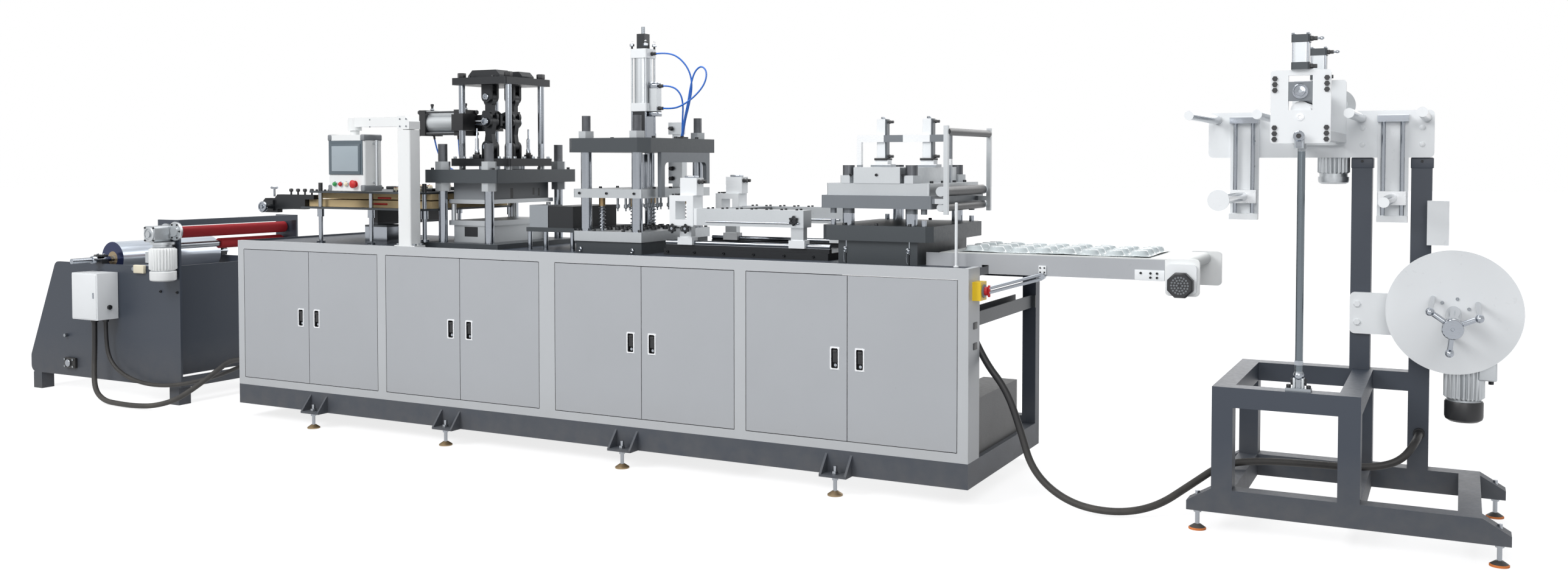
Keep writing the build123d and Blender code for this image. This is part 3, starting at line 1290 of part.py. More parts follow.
with BuildPart() as air_hoses:
    for route in booster_hose_routes + forming_hose_routes:
        print("air hose", [round(value) for value in cord(route, hose_radius)])
save(air_hoses.part, "air_hoses")
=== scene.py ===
# %% [markdown]
# # An inline thermoforming machine, dressed for its portrait
#
# The machine pulls plastic film from a roll on the left, warms it between two slabs, presses it
# into cups under the toggle press, cuts them out, stacks them and winds the scrap on a reel. The
# rigid pieces arrive finished. This lesson adds their surfaces and the small hardware that the eye
# expects: bolt heads, handles, springs, knobs, motor fins, the panel's screen and the hoses.
#
# X runs along the line, Y from the operator to the rear, Z up. Places are in metres. The sizes of
# the small hardware are in millimetres.

# %%
import math
import re

import bmesh
import bpy
import numpy as np
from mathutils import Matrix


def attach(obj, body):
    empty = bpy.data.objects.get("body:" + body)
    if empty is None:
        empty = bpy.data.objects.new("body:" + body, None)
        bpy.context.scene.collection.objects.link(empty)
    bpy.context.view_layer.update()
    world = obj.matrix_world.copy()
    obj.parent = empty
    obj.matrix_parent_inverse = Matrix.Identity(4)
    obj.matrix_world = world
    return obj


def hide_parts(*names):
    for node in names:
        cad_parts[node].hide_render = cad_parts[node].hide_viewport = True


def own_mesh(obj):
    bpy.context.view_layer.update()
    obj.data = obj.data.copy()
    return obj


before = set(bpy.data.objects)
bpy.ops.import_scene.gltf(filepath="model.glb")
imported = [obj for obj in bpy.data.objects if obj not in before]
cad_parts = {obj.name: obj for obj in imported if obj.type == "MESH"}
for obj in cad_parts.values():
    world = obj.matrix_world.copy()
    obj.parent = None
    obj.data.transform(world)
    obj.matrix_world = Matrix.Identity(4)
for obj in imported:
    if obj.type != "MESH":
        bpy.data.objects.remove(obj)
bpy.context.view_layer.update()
print("pieces of the machine:", len(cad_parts))

# %% [markdown]
# ## Turned, squared and drawn-out shapes
#
# Three functions make nearly all hardware. A turned piece is a profile carried round an axis. A
# block is a rounded rectangle carried up, drawn in by a quarter circle at both ends. A drawn-out
# piece carries a ring along a path. Each gives a grid of points: rows follow one parameter,
# columns the other.

# %%
AXES = {
    "X": ((0, 1, 0), (0, 0, 1), (1, 0, 0)),
    "Y": ((0, 0, 1), (1, 0, 0), (0, 1, 0)),
    "Z": ((1, 0, 0), (0, 1, 0), (0, 0, 1)),
}


def at(xs, ys, zs):
    """All places where the given X, Y and Z values meet."""
    return np.stack(np.meshgrid(xs, ys, zs, indexing="ij"), -1).reshape(-1, 3)


def circle(count, start=0.0):
    """Evenly spaced angles: a = start + 2 pi k / count."""
    return start + np.arange(count) * 2 * np.pi / count


def around(centre, radius, angles):
    """Places on an upright circle: centre + r (cos a, 0, sin a)."""
    return np.array(centre) + radius / 1000 * np.column_stack([np.cos(angles), 0 * angles, np.sin(angles)])


def outline(*corners):
    """Radius and height pairs, joined to the axis at both ends unless the ends meet."""
    if corners[0] != corners[-1]:
        corners = [(0, corners[0][1]), *corners]
        if corners[-1][0] != 0:
            corners.append((0, corners[-1][1]))
    return np.array(corners, float) / 1000


def rod(radius, height):
    """Profile of a plain round rod."""
    return outline((radius, 0), (radius, height))


def socket_head(radius, height):
    """Profile of a cap screw: a bevelled head with a sunk socket."""
    return outline((radius, 0), (radius, height * 0.88), (radius * 0.9, height),
                   (radius * 0.55, height), (radius * 0.5, height * 0.45), (0, height * 0.4))


def nut(radius, height):
    """Profile of a bevelled nut or hexagon head."""
    bevel = radius * 0.93
    return outline((bevel, 0), (radius, height * 0.12), (radius, height * 0.88), (bevel, height))


def ball(radius):
    """Profile of a ball: (r cos a, r sin a) from pole to pole."""
    angle = np.linspace(-np.pi / 2, np.pi / 2, 14)
    return radius / 1000 * np.column_stack([np.cos(angle), np.sin(angle)])


def turned(profile, places, axis="Z", columns=24, flats=0, lobes=0):
    """Radius and height rows carried round an axis: point = place + r cos a U + r sin a V + h W.

    A minus before the axis turns the heights round. With flats, the radius is divided by the
    cosine of the angle from the nearest flat's middle, which gives a hexagon or an octagon
    instead of a circle. Lobes swell and shrink it by a sixth."""
    profile = np.array(profile) * (1, -1 if axis[0] == "-" else 1)
    places = np.atleast_2d(np.asarray(places, float))
    angle = circle(columns)
    form = np.ones(columns)
    if flats:
        part = 2 * np.pi / flats
        form = 1 / np.cos((angle + part / 2) % part - part / 2)
    if lobes:
        form = 1 + np.cos(lobes * angle) / 6
    u, v, w = (np.array(way, float) for way in AXES[axis[-1]])
    ring = np.cos(angle)[:, None] * u + np.sin(angle)[:, None] * v
    shape = profile[:, :1, None] * form[None, :, None] * ring[None] + profile[:, 1:, None] * w
    return places[:, None, None, :] + shape[None]


def block(centres, size, edge, steps=3):
    """Rounded rectangles stacked in height: rows follow a quarter circle out, up and in again."""
    centres = np.atleast_2d(np.asarray(centres, float))
    half = np.asarray(size, float) / 2000
    edge = min(edge / 1000, half.min() * 0.9)
    turn = np.linspace(0, np.pi / 2, steps + 1)
    inset = edge * (1 - np.sin(turn))
    rise = edge * (1 - np.cos(turn))
    level = np.concatenate([-half[2] + rise, half[2] - rise[::-1]])
    drawn = np.concatenate([inset, inset[::-1]])
    quarter = (np.arange(4)[:, None] * np.pi / 2 + turn[None]).ravel()
    corner = np.repeat(np.array([(1, 1), (-1, 1), (-1, -1), (1, -1)]), steps + 1, axis=0)
    way = np.stack([np.cos(quarter), np.sin(quarter)], -1)
    plan = corner * (half[:2] - edge) + way * (edge - drawn)[:, None, None]
    rows = np.concatenate([plan, np.repeat(level[:, None, None], len(quarter), 1)], -1)
    low = np.tile([0, 0, -half[2]], (1, len(quarter), 1))
    shape = np.concatenate([low, rows, -low])
    return centres[:, None, None, :] + shape[None]


def drawn_out(path, radius, columns=10):
    """A ring carried along a path, kept square to it: point = path + r (cos a N + sin a B)."""
    path = np.asarray(path, float)
    way = np.gradient(path, axis=0)
    way /= np.linalg.norm(way, axis=1)[:, None]
    guide = np.array((0, 0, 1.0)) if abs(way[:, 2]).mean() < 0.7 else np.array((1.0, 0, 0))
    side = np.cross(way, guide)
    side /= np.linalg.norm(side, axis=1)[:, None]
    up = np.cross(side, way)
    angle = circle(columns)[None, :, None]
    ring = np.cos(angle) * side[:, None] + np.sin(angle) * up[:, None]
    first, last = (np.repeat(path[end][None, None], columns, 1) for end in (0, -1))
    return np.concatenate([first, path[:, None] + radius / 1000 * ring, last])


print("shapes: turned, block, drawn_out")

# %% [markdown]
# ## From grids to a closed piece
#
# Four neighbours in a grid make a face. A row pulled together in one point closes an end. `Piece`
# gathers such grids, welds what meets and turns all faces outward. Screws and nuts have methods of
# their own, because the machine has rows and rows of them.

# %%
HEAD_COLUMNS, HEX = 12, 6
WELD, SLIVER = 1e-6, 1e-7
SHARP = math.radians(38)


class Piece:
    """Collects grids of points and joins them into one closed mesh."""

    def __init__(self, name):
        self.name = name
        self.points = []
        self.faces = []
        self.finishes = []
        self.count = 0

    def add(self, grid, finish=0, wrap=True):
        """Adds one grid (rows, columns, 3) or many (copies, rows, columns, 3)."""
        grid = np.asarray(grid, float)
        grid = grid[None] if grid.ndim == 3 else grid
        copies, rows, columns, _ = grid.shape
        row = np.arange(rows - 1)[:, None]
        column = np.arange(columns if wrap else columns - 1)[None, :]
        after = (column + 1) % columns
        quad = np.stack([
            row * columns + column, row * columns + after,
            (row + 1) * columns + after, (row + 1) * columns + column,
        ], -1).reshape(-1, 4)
        start = self.count + np.arange(copies)[:, None, None] * rows * columns
        self.faces.append((quad[None] + start).reshape(-1, 4))
        self.finishes.append(np.full(copies * len(quad), finish))
        self.points.append(grid.reshape(-1, 3))
        self.count += copies * rows * columns
        return self

    def turn(self, profile, places, axis="Z", columns=24, finish=0, flats=0, lobes=0):
        """Adds a turned profile at every place."""
        return self.add(turned(profile, places, axis, columns, flats, lobes), finish)

    def screws(self, radius, height, places, axis="Z", finish=0):
        """Adds cap screws whose heads point along the axis."""
        return self.turn(socket_head(radius, height), places, axis, HEAD_COLUMNS, finish)

    def nuts(self, radius, height, places, axis="Z", finish=0):
        """Adds hexagon nuts."""
        return self.hexagons(nut(radius, height), places, axis, finish)

    def hexagons(self, profile, places, axis="Z", finish=0):
        """Adds pieces with six flats and a profile of their own."""
        return self.turn(profile, places, axis, HEAD_COLUMNS, finish, HEX)

    def block(self, centres, size, edge, finish=0):
        """Adds rounded blocks."""
        return self.add(block(centres, size, edge), finish)

    def draw(self, path, radius, columns=10, finish=0):
        """Adds a ring carried along a path."""
        return self.add(drawn_out(path, radius, columns), finish)

    def make(self, *finishes, body="machine"):
        """Builds the mesh, closes it and lets it ride on a body."""
        points = np.concatenate(self.points)
        faces = np.concatenate(self.faces)
        mesh = bpy.data.meshes.new(self.name)
        mesh.vertices.add(len(points))
        mesh.vertices.foreach_set("co", points.ravel())
        mesh.loops.add(faces.size)
        mesh.loops.foreach_set("vertex_index", faces.ravel())
        mesh.polygons.add(len(faces))
        mesh.polygons.foreach_set("loop_start", np.arange(0, faces.size, 4))
        mesh.polygons.foreach_set("loop_total", np.full(len(faces), 4))
        for finish in finishes:
            mesh.materials.append(PLAIN[finish] if isinstance(finish, str) else finish)
        mesh.polygons.foreach_set("material_index", np.concatenate(self.finishes))
        mesh.update(calc_edges=True)
        work = bmesh.new()
        work.from_mesh(mesh)
        bmesh.ops.remove_doubles(work, verts=work.verts, dist=WELD)
        bmesh.ops.dissolve_degenerate(work, edges=work.edges, dist=SLIVER)
        bmesh.ops.recalc_face_normals(work, faces=work.faces)
        work.to_mesh(mesh)
        work.free()
        mesh.polygons.foreach_set("use_smooth", np.ones(len(mesh.polygons), bool))
        mesh.set_sharp_from_angle(angle=SHARP)
        piece = bpy.data.objects.new(self.name, mesh)
        bpy.context.collection.objects.link(piece)
        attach(piece, body)
        print(f"{self.name}: {len(mesh.polygons)} faces on {body}")
        return piece


# %% [markdown]
# ## Finishes
#
# One function dresses a rigid piece. It reads the object's own coordinates, so the grain is of
# real size. Zones are boxes in space where another finish shows, such as a light plate on a dark
# base. Painted parts get a fine orange peel, metal gets a grain drawn one way, and all get a
# cloudy change of tone, small marks and a little dust near the floor.

# %%
def tone(red, green, blue):
    """Screen colour 0 to 255 into the light values that shading uses."""
    value = np.array([red, green, blue]) / 255
    light = np.where(value < 0.04045, value / 12.92, ((value + 0.055) / 1.055) ** 2.4)
    return (*light, 1.0)


# Name, red, green, blue, share of metal and roughness.
SHADES = """
slate 51 58 69 0.0 0.46
sheet 184 187 190 0.0 0.40
door_sheet 170 173 177 0.0 0.40
dark_plate 62 67 71 0.30 0.42
light_plate 178 182 185 0.70 0.36
chrome 158 163 170 1.0 0.13
steel 148 153 158 1.0 0.30
thread 96 98 102 0.9 0.38
alloy 188 192 195 0.75 0.36
black 26 27 30 0.0 0.42
iron 38 40 43 0.45 0.40
white 234 237 239 0.0 0.30
panel 230 232 232 0.0 0.34
bright 238 240 242 0.25 0.26
mid_plate 110 115 120 0.35 0.40
rod_steel 110 118 124 1.0 0.24
grey 120 124 128 0.0 0.42
tan 198 176 134 0.0 0.78
red 186 24 28 0.0 0.48
yellow 240 202 36 0.0 0.38
orange 226 122 34 0.0 0.55
red_rubber 156 16 28 0.0 0.72
bronze 158 134 98 0.75 0.36
film 188 196 206 0.15 0.20
cup_film 188 196 198 0.0 0.16
deep_blue 42 50 84 0.1 0.34
belt 214 217 216 0.0 0.60
hose 28 104 200 0.0 0.30
cable 20 20 22 0.0 0.50
copper 188 118 78 1.0 0.30
green 30 140 70 0.0 0.35
cream 228 220 196 0.0 0.40
bezel 82 94 102 0.0 0.40
screen 150 161 168 0.0 0.14
"""
FINISH = {}
for name, *row in map(str.split, SHADES.strip().split("\n")):
    row = [float(value) for value in row]
    FINISH[name] = (tone(*row[:3]), *row[3:])
DUST_TONE = tone(150, 145, 136)
# Scale and detail of each noise.
CLOUDS, SPOTS, GRAIN, PEEL, DUST = (3.1, 5.0), (46.0, 2.0), (60.0, 3.0), (620.0, 1.0), (16.0, 4.0)
THREAD_PITCH, THREAD_HEIGHT = 0.003, 4.0
GRAIN_DARKENS, MARK_DARKENS, MARK_LEVEL = 0.16, 0.05, 0.74
# Dust falls off between two heights, from one share of the surface to another.
DUST_FADE = (0.02, 0.34, 0.30, 0.0)
GRAIN_ROUGHENS, CLOUDS_ROUGHEN, EVEN_ROUGH = 0.4, 0.2, 0.7
BUMP_STRENGTH, BUMP_DEPTH, METAL_GRAIN = 0.5, 0.0004, 0.05


class Graph:
    """A small writer of shading nodes for a material or a world."""

    def __init__(self, owner, coordinates="Object", output=None):
        owner.use_nodes = True
        self.tree = owner.node_tree
        if output:
            self.tree.nodes.clear()
            self.output = self.node(output)
        else:
            self.shader = self.tree.nodes["Principled BSDF"]
        self.where = self.node("TexCoord").outputs[coordinates]
        self.axes = self.node("SeparateXYZ", self.where).outputs

    def node(self, kind, *inputs, named=None, **settings):
        """Adds a node, sets it up and feeds its inputs, in order or by name."""
        made = self.tree.nodes.new("ShaderNode" + kind)
        for name, value in settings.items():
            setattr(made, name, value)
        for plug, value in (*enumerate(inputs), *(named or {}).items()):
            self.feed(made.inputs[plug], value)
        return made

    def feed(self, socket, value):
        if isinstance(value, bpy.types.NodeSocket):
            self.tree.links.new(value, socket)
        else:
            socket.default_value = value[:3] if socket.type == "VECTOR" else value

    def shade(self, **values):
        """Feeds the shader's sockets; an underscore stands for the space in a name."""
        for name, value in values.items():
            self.feed(self.shader.inputs[name.replace("_", " ")], value)

    def calc(self, operation, *values):
        return self.node("Math", *values, operation=operation).outputs[0]

    def scaled(self, colour, factor):
        return self.node("VectorMath", colour, named={"Scale": factor}, operation="SCALE").outputs[0]

    def ranged(self, value, from_low, from_high, to_low, to_high):
        """Carries one range of numbers over to another and holds it at both ends."""
        return self.node("MapRange", clamp=True, named={
            "Value": value, "From Min": from_low, "From Max": from_high, "To Min": to_low, "To Max": to_high,
        }).outputs[0]

    def blend(self, share, first, second):
        """Mixes two colours or two numbers."""
        number = isinstance(first, float) or getattr(first, "type", None) == "VALUE"
        kind, plug, result = ("FLOAT", 2, 0) if number else ("RGBA", 6, 2)
        made = self.node("Mix", share, data_type=kind)
        self.feed(made.inputs[plug], first)
        self.feed(made.inputs[plug + 1], second)
        return made.outputs[result]

    def noise(self, scale, detail, stretch=(1, 1, 1)):
        place = self.node("Mapping", named={"Vector": self.where, "Scale": stretch})
        return self.node("TexNoise", named={
            "Vector": place.outputs[0], "Scale": scale, "Detail": detail}).outputs["Fac"]

    def inside(self, limits):
        """1 where all limits such as "z>1.2" or "2<x<3" hold, else 0."""
        mask = None
        for limit in limits:
            low, axis, high = re.split("([xyz])", limit)
            tests = [(low[:-1], ">")] * bool(low) + [(high[1:], high[0])]
            for value, sign in tests:
                test = self.calc("GREATER_THAN" if sign == ">" else "LESS_THAN",
                                 self.axes["xyz".index(axis)], float(value))
                mask = self.calc("MULTIPLY", mask, test) if mask else test
        return mask

    def seen_rays(self):
        """1 for rays from the camera and for those that metal or glass sends on, else 0."""
        ray = self.node("LightPath").outputs
        mirrored = self.calc("MAXIMUM", ray["Is Camera Ray"], ray["Is Glossy Ray"])
        return self.calc("MAXIMUM", mirrored, ray["Is Transmission Ray"])


def dressed(name, finish, *zones, grain=(1, 1, 14), threads=(), cloud=0.07, peel=0.12, glow=None):
    """A finish with zones, clouds of tone, drawn grain on metal, peel on paint and cut threads.

    A zone names its finish and then its limits. Grain tells how much finer the drawn lines lie
    along X, Y and Z."""
    material = bpy.data.materials.new(name)
    graph = Graph(material)
    colour, metal, rough = FINISH[finish]
    for zone in zones:
        other, *limits = zone.split()
        mask = graph.inside(limits)
        colour, metal, rough = (
            graph.blend(mask, mine, its) for mine, its in zip((colour, metal, rough), FINISH[other]))
    clouds = graph.noise(*CLOUDS)
    drawn = graph.noise(*GRAIN, grain)
    drawn_metal = graph.calc("MULTIPLY", drawn, metal)
    shade = graph.calc("MULTIPLY_ADD", clouds, 2 * cloud, 1 - cloud)
    shade = graph.calc("MULTIPLY_ADD", drawn_metal, -GRAIN_DARKENS, shade)
    marks = graph.calc("GREATER_THAN", graph.noise(*SPOTS), MARK_LEVEL)
    shade = graph.calc("MULTIPLY_ADD", marks, -MARK_DARKENS, shade)
    near_floor = graph.ranged(graph.axes[2], *DUST_FADE)
    dust = graph.calc("MULTIPLY", near_floor, graph.noise(*DUST))
    final = graph.blend(dust, graph.scaled(colour, shade), DUST_TONE)
    uneven = graph.calc("MULTIPLY_ADD", clouds, CLOUDS_ROUGHEN, EVEN_ROUGH)
    uneven = graph.calc("MULTIPLY_ADD", drawn, GRAIN_ROUGHENS, uneven)
    wear = graph.calc("MULTIPLY", uneven, rough)
    paint = graph.calc("MULTIPLY", graph.calc("SUBTRACT", 1.0, metal), peel)
    grooves = graph.calc("MULTIPLY", drawn_metal, METAL_GRAIN)
    height = graph.calc("MULTIPLY_ADD", graph.noise(*PEEL), paint, grooves)
    for limits in threads:
        wave = graph.calc("SINE", graph.calc("MULTIPLY", graph.axes[2], 2 * math.pi / THREAD_PITCH))
        cut = graph.calc("MULTIPLY", wave, graph.inside(limits.split()))
        height = graph.calc("MULTIPLY_ADD", cut, THREAD_HEIGHT, height)
    bump = graph.node("Bump", named={"Strength": BUMP_STRENGTH, "Distance": BUMP_DEPTH, "Height": height})
    graph.shade(Base_Color=final, Metallic=metal, Normal=bump.outputs[0])
    graph.shade(Roughness=graph.calc("ADD", wear, dust))
    # A glow paints light into the surface in its own colour.
    if glow:
        graph.shade(Emission_Color=final, Emission_Strength=glow)
    return material


def wear_on(node, material):
    """Puts a material into the slots of a rigid piece, without touching its mesh."""
    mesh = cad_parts[node].data
    mesh.materials.clear()
    mesh.materials.append(material)


def dress(node, finish, *zones, **how):
    """Dresses a rigid piece in a finish of its own."""
    wear_on(node, dressed(node + "_surface", finish, *zones, **how))


PLAIN = {name: dressed(name + "_finish", name) for name in FINISH if name != "chrome"}
PLAIN["chrome"] = dressed("chrome_finish", "chrome", grain=(1, 1, 4), cloud=0.02)
print("finishes:", len(PLAIN))

# %% [markdown]
# ## Dressing the cabinets, the base and the stands
#
# Base, table and stands are slate paint. Door fronts and outer skins are light sheet. Each door
# has a bright handle frame round a dark pocket, found by its place on that door. Black on the edges
# of door and opening is painted shade, so the gaps between them read as thin dark lines.

# %%
slate = dressed("slate_paint", "slate", cloud=0.09, peel=0.3)
for node in ("base_frame", "table_top", "rewinder_frame"):
    wear_on(node, slate)
dress("cabinet_frame", "slate", "sheet y>0.4753", "sheet x<-1.9995", cloud=0.06, peel=0.25)
# The black zone on the edges of the door openings is painted shade for the gaps round the doors.
dress("cabinet_face", "sheet",
      "black -1.992<x<1.992 -0.4744<y<-0.4505 0.2112<z<0.8828", cloud=0.04, peel=0.2)
dress("unwinder_frame", "slate", "iron -3.25<x<-3.16 z>0.756", cloud=0.1, peel=0.3)

CABINET, STILE, MIDDLE_STILE = 2.0, 0.046, 0.058
GRIP_IN, GRIP_Z = 0.055, 0.545
bay = (CABINET - 2 * STILE - MIDDLE_STILE) / 2
bay_starts = [x + STILE + step * (bay + MIDDLE_STILE) for x in (-CABINET, 0.0) for step in (0, 1)]
grips = [x + bay / 2 + side * GRIP_IN for x in bay_starts for side in (-1, 1)]
# The black zone on each door's edges is painted shade for the gap round it.
for number, x in enumerate(grips, 1):
    dress(f"door_{number}", "door_sheet", "black -0.4742<y<-0.4565",
          f"bright {x - 0.0205}<x<{x + 0.0205} {GRIP_Z - 0.0462}<z<{GRIP_Z + 0.0462}",
          f"black {x - 0.0152}<x<{x + 0.0152} y>-0.4747 {GRIP_Z - 0.0409}<z<{GRIP_Z + 0.0409}",
          cloud=0.04, peel=0.2)
print("grips at", [round(x, 3) for x in grips])

# %% [markdown]
# ## Dressing the stations
#
# Each node of a station takes one finish, and zones give its plates, rods and threads their own.
# A zone's limits lie just beyond the faces that they part, so no edge is shared by two finishes.

# %%
dress("levelling_feet", "chrome", "bronze -2<x<2 z<0.0185",
      "black x>2.3 0.0075<z<0.0190", "orange x>2.3 z<0.0075", grain=(14, 14, 1))
dress("electrical_boxes", "black", "white -3.3<x<-3.02 z>0.4522", "white x>3.5 z>1.0",
      "iron x>1.8 y<0.3 z<0.405", "yellow 1.999<x<2.05 y<-0.36 z>0.79",
      "dark_plate 1.85<x<1.999 0.6895<z<0.75")
dress("heater_slabs", "tan", grain=(30, 1, 1), cloud=0.16, peel=1.2)
dress("heater_frame", "dark_plate", grain=(14, 1, 1))
dress("feed_guide", "iron", "steel -0.2815<y<0.2815", grain=(1, 14, 1))
dress("film_drive", "steel", "iron -2<x<-1", "dark_plate 1.0015<z<1.0225",
      "chrome z<1.0015", "iron x>-0.172 z>1.0225")
for node in ("pendant_post", "pendant_arm"):
    dress(node, "panel", cloud=0.04, peel=0.3)
dress("control_panel", "panel", "bezel -1.341<x<-1.115 y<-0.4735 z>1.255",
      "alloy x<-1.3495", "alloy x>-1.1065", cloud=0.03, peel=0.3)
dress("forming_plates", "dark_plate", grain=(14, 1, 1))
dress("forming_moulds", "light_plate", "grey z>1.149",
      "black x>-0.5395 -0.064<y<-0.042 1.153<z<1.203", "black x>-0.5395 0.111<y<0.126 1.166<z<1.202",
      "black x>-0.5395 0.155<y<0.168 1.160<z<1.200", "iron -0.680<x<-0.597 y<-0.2385 0.967<z<1.015",
      grain=(1, 1, 18))
FORMING, CUTTING = "-0.88<x<-0.4", "0.0<x<0.45"
dress("press_columns", "chrome",
      f"light_plate {FORMING} 1.0<z<1.336", f"chrome {FORMING} 0.9<z<1.190",
      f"thread {FORMING} y<-0.2 1.3352<z<1.43", f"thread {FORMING} y>0.2 1.3352<z<1.43",
      f"black {FORMING} z>1.7495", f"light_plate {CUTTING} 1.4418<z<1.4742",
      f"thread {CUTTING} z>1.4742", "black -1.7<x<-0.83 z>1.1845",
      threads=(f"{FORMING} 1.336<z<1.425", f"{CUTTING} z>1.475"), grain=(1, 1, 8), cloud=0.02)
dress("toggle_frame", "iron", cloud=0.12)
for node in ("toggle_upper", "toggle_lower"):
    dress(node, "iron", "chrome y<-0.1235", "chrome y>0.1235", cloud=0.12)
dress("forming_crosshead", "iron", "chrome 1.159<z<1.3118", "light_plate z<1.159")
dress("forming_cylinder", "black",
      "alloy -1.0885<x<-0.8975 -0.06<y<0.06 z>1.473", grain=(14, 1, 1))
dress("ram_rod", "chrome", "iron x>-0.73", grain=(1, 18, 18))
dress("cutting_base", "dark_plate", "light_plate 0.9702<z<1.0163",
      "chrome z>1.0163", grain=(18, 1, 1))
dress("cutting_head", "dark_plate", "mid_plate x>0.414 z<1.3765", grain=(14, 1, 1))
dress("cutting_platen", "light_plate", "bronze z<1.1685", "chrome z>1.2105", grain=(18, 1, 1))
dress("booster_cylinder", "alloy", "iron z<1.5715", "iron z>1.8662",
      "white x<0.257 1.5715<z<1.6105", "white x<0.257 1.8225<z<1.8662", "black x>0.2985 z<1.75",
      "black x>0.2565 1.75<z<1.86", "chrome 0.155<x<0.177 1.4<z<1.57",
      "chrome 0.243<x<0.2555 1.4<z<1.57", "steel z>1.9385")
dress("valve_stand", "alloy")
dress("transport_bed", "iron", "chrome z>0.9625", grain=(1, 18, 18))
dress("transport_carriage", "alloy", "white z<1.0", "white x<0.65 z>1.05",
      "grey 0.699<x<0.811 -0.17<y<0.17", grain=(1, 14, 14))
dress("stacking_base", "dark_plate", "chrome z>1.0735", grain=(14, 1, 1))
dress("stacking_platen", "light_plate", "mid_plate x<1.80 1.1215<z<1.1968",
      "alloy x<1.80 1.2462<z<1.3112", "chrome x<1.80 z<1.1205", "alloy x>1.80",
      "black x>1.8 -0.290<y<0.210 z<1.24",
      *[f"thread {side} {edge} z>1.2785"
        for side in ("x<1.4345", "1.6535<x<1.80") for edge in ("y<-0.2405", "y>0.2405")], grain=(18, 1, 1))
dress("stacking_cylinders", "white", "steel z<1.3235", "bright y<-0.0235 z>1.32",
      "mid_plate 1.4615<x<1.55 z>1.346", "mid_plate x>1.6715 z>1.346")
dress("gate_roller", "black", grain=(1, 18, 1))
dress("conveyor_frame", "door_sheet", "panel x>2.688", cloud=0.05, peel=0.2)
dress("conveyor_belt", "belt", grain=(1, 24, 1), cloud=0.05, peel=1.0)
dress("press_roller", "steel", "red_rubber y>-0.061", grain=(1, 14, 1))
dress("feed_roller", "red_rubber", "chrome y<-0.3865", "chrome y>0.3865",
      cloud=0.14, peel=0.8)
dress("gearmotors", "alloy", "white 2.6<x<2.85 y<-0.2", "black 3.6<x<3.76 z<0.432",
      "white 3.2<x<3.72 0.282<y<0.299 0.66<z<0.84", "iron 2.6<x<2.85 y>-0.243")
dress("rewinder_plate", "white", "steel y<0.2828 1.483<z<1.519", "chrome y<0.262",
      "white y<-0.3485", "white 0.262<y<0.2732", "white 0.2382<y<0.2728 1.09<z<1.13",
      cloud=0.03, peel=0.2, grain=(1, 14, 1))
for node in ("dancer_left", "dancer_right"):
    dress(node, "chrome", "bright y>0.23", "white y<-0.346", grain=(1, 14, 1))
dress("nip_frame", "white", "steel -0.375<y<0.266 1.46<z<1.55",
      "mid_plate 3.1275<x<3.2065 1.5435<z<1.6105", "dark_plate z>1.6503",
      "alloy 1.6763<z<1.7448", cloud=0.03)
dress("nip_roller", "steel", grain=(1, 18, 1))
dress("tension_rod", "steel", "rod_steel 0.60<z<1.37", grain=(14, 14, 1), cloud=0.1)
dress("reel", "white", "chrome y<0.1695", "chrome y>0.1765",
      cloud=0.03, peel=0.2, grain=(1, 14, 1))
print("stations dressed")

# %% [markdown]
# ## The film roll
#
# The roll is hundreds of turns of clear film. Its side has pale streaks along its length, painted
# sheen that also varies its roughness, and its dark blue ends show the windings as fine rings round
# the core. The rings are a sine of the distance from the shaft.

# %%
ROLL_X, ROLL_Z, ROLL_END = -3.205, 0.779, 0.3285
ROLL_RADIUS, CORE_RADIUS, SHAFT_RADIUS, WINDING = 0.0955, 0.041, 0.0165, 0.0022
windings = bpy.data.materials.new("film_windings")
roll = Graph(windings)
across = roll.calc("SUBTRACT", roll.axes[0], ROLL_X)
height = roll.calc("SUBTRACT", roll.axes[2], ROLL_Z)
squares = [roll.calc("MULTIPLY", part, part) for part in (across, height)]
reach = roll.calc("SQRT", roll.calc("ADD", *squares))
rings = roll.calc("SINE", roll.calc("MULTIPLY", reach, 2 * math.pi / WINDING))
beyond = roll.calc("GREATER_THAN", roll.calc("ABSOLUTE", roll.axes[1]), ROLL_END)
ends = roll.calc("MULTIPLY", beyond, roll.calc("LESS_THAN", reach, ROLL_RADIUS))
core = roll.calc("MULTIPLY", roll.calc("LESS_THAN", reach, CORE_RADIUS), ends)
shaft = roll.calc("LESS_THAN", reach, SHAFT_RADIUS)
colour = roll.blend(ends, FINISH["film"][0], FINISH["deep_blue"][0])
colour = roll.blend(core, colour, tone(150, 132, 104))
colour = roll.blend(shaft, colour, FINISH["chrome"][0])
# Pale streaks along the roll's length: painted sheen, which also varies the roughness.
sheen_streaks = roll.noise(26.0, 4.0, (1, 0.12, 1))
shade = roll.calc("MULTIPLY_ADD", sheen_streaks, 0.5, roll.calc("MULTIPLY_ADD", rings, 0.05, 0.75))
roll.shade(Base_Color=roll.scaled(colour, shade), Metallic=roll.blend(shaft, 0.55, 1.0),
           Roughness=roll.calc("MULTIPLY_ADD", sheen_streaks, 0.22, 0.08))
wear_on("film_roll", windings)

# %% [markdown]
# ## Door pulls
#
# Inside each bright frame sits a dark lever that the finger lifts, above a small key barrel.

# %%
for number, x in enumerate(grips, 1):
    pull = Piece(f"door_{number}_pull")
    pull.block((x, -0.4695, 0.553), (22, 10, 52), 3)
    pull.block((x, -0.4755, 0.572), (18, 4, 10), 1.5)
    pull.turn(nut(6.5, 6), (x, -0.4625, 0.516), "-Y", 24, 1)
    pull.make("black", "chrome", body=f"door_{number}")

# %% [markdown]
# ## Painted shade in the door gaps
#
# At its hinges a door lies close to the frame. A thin black strip there is painted shade, the dark line of
# the gap.

# %%
edges = [x + far * bay + out for x in bay_starts for far, out in ((0, -0.0012), (1, 0.0012))]
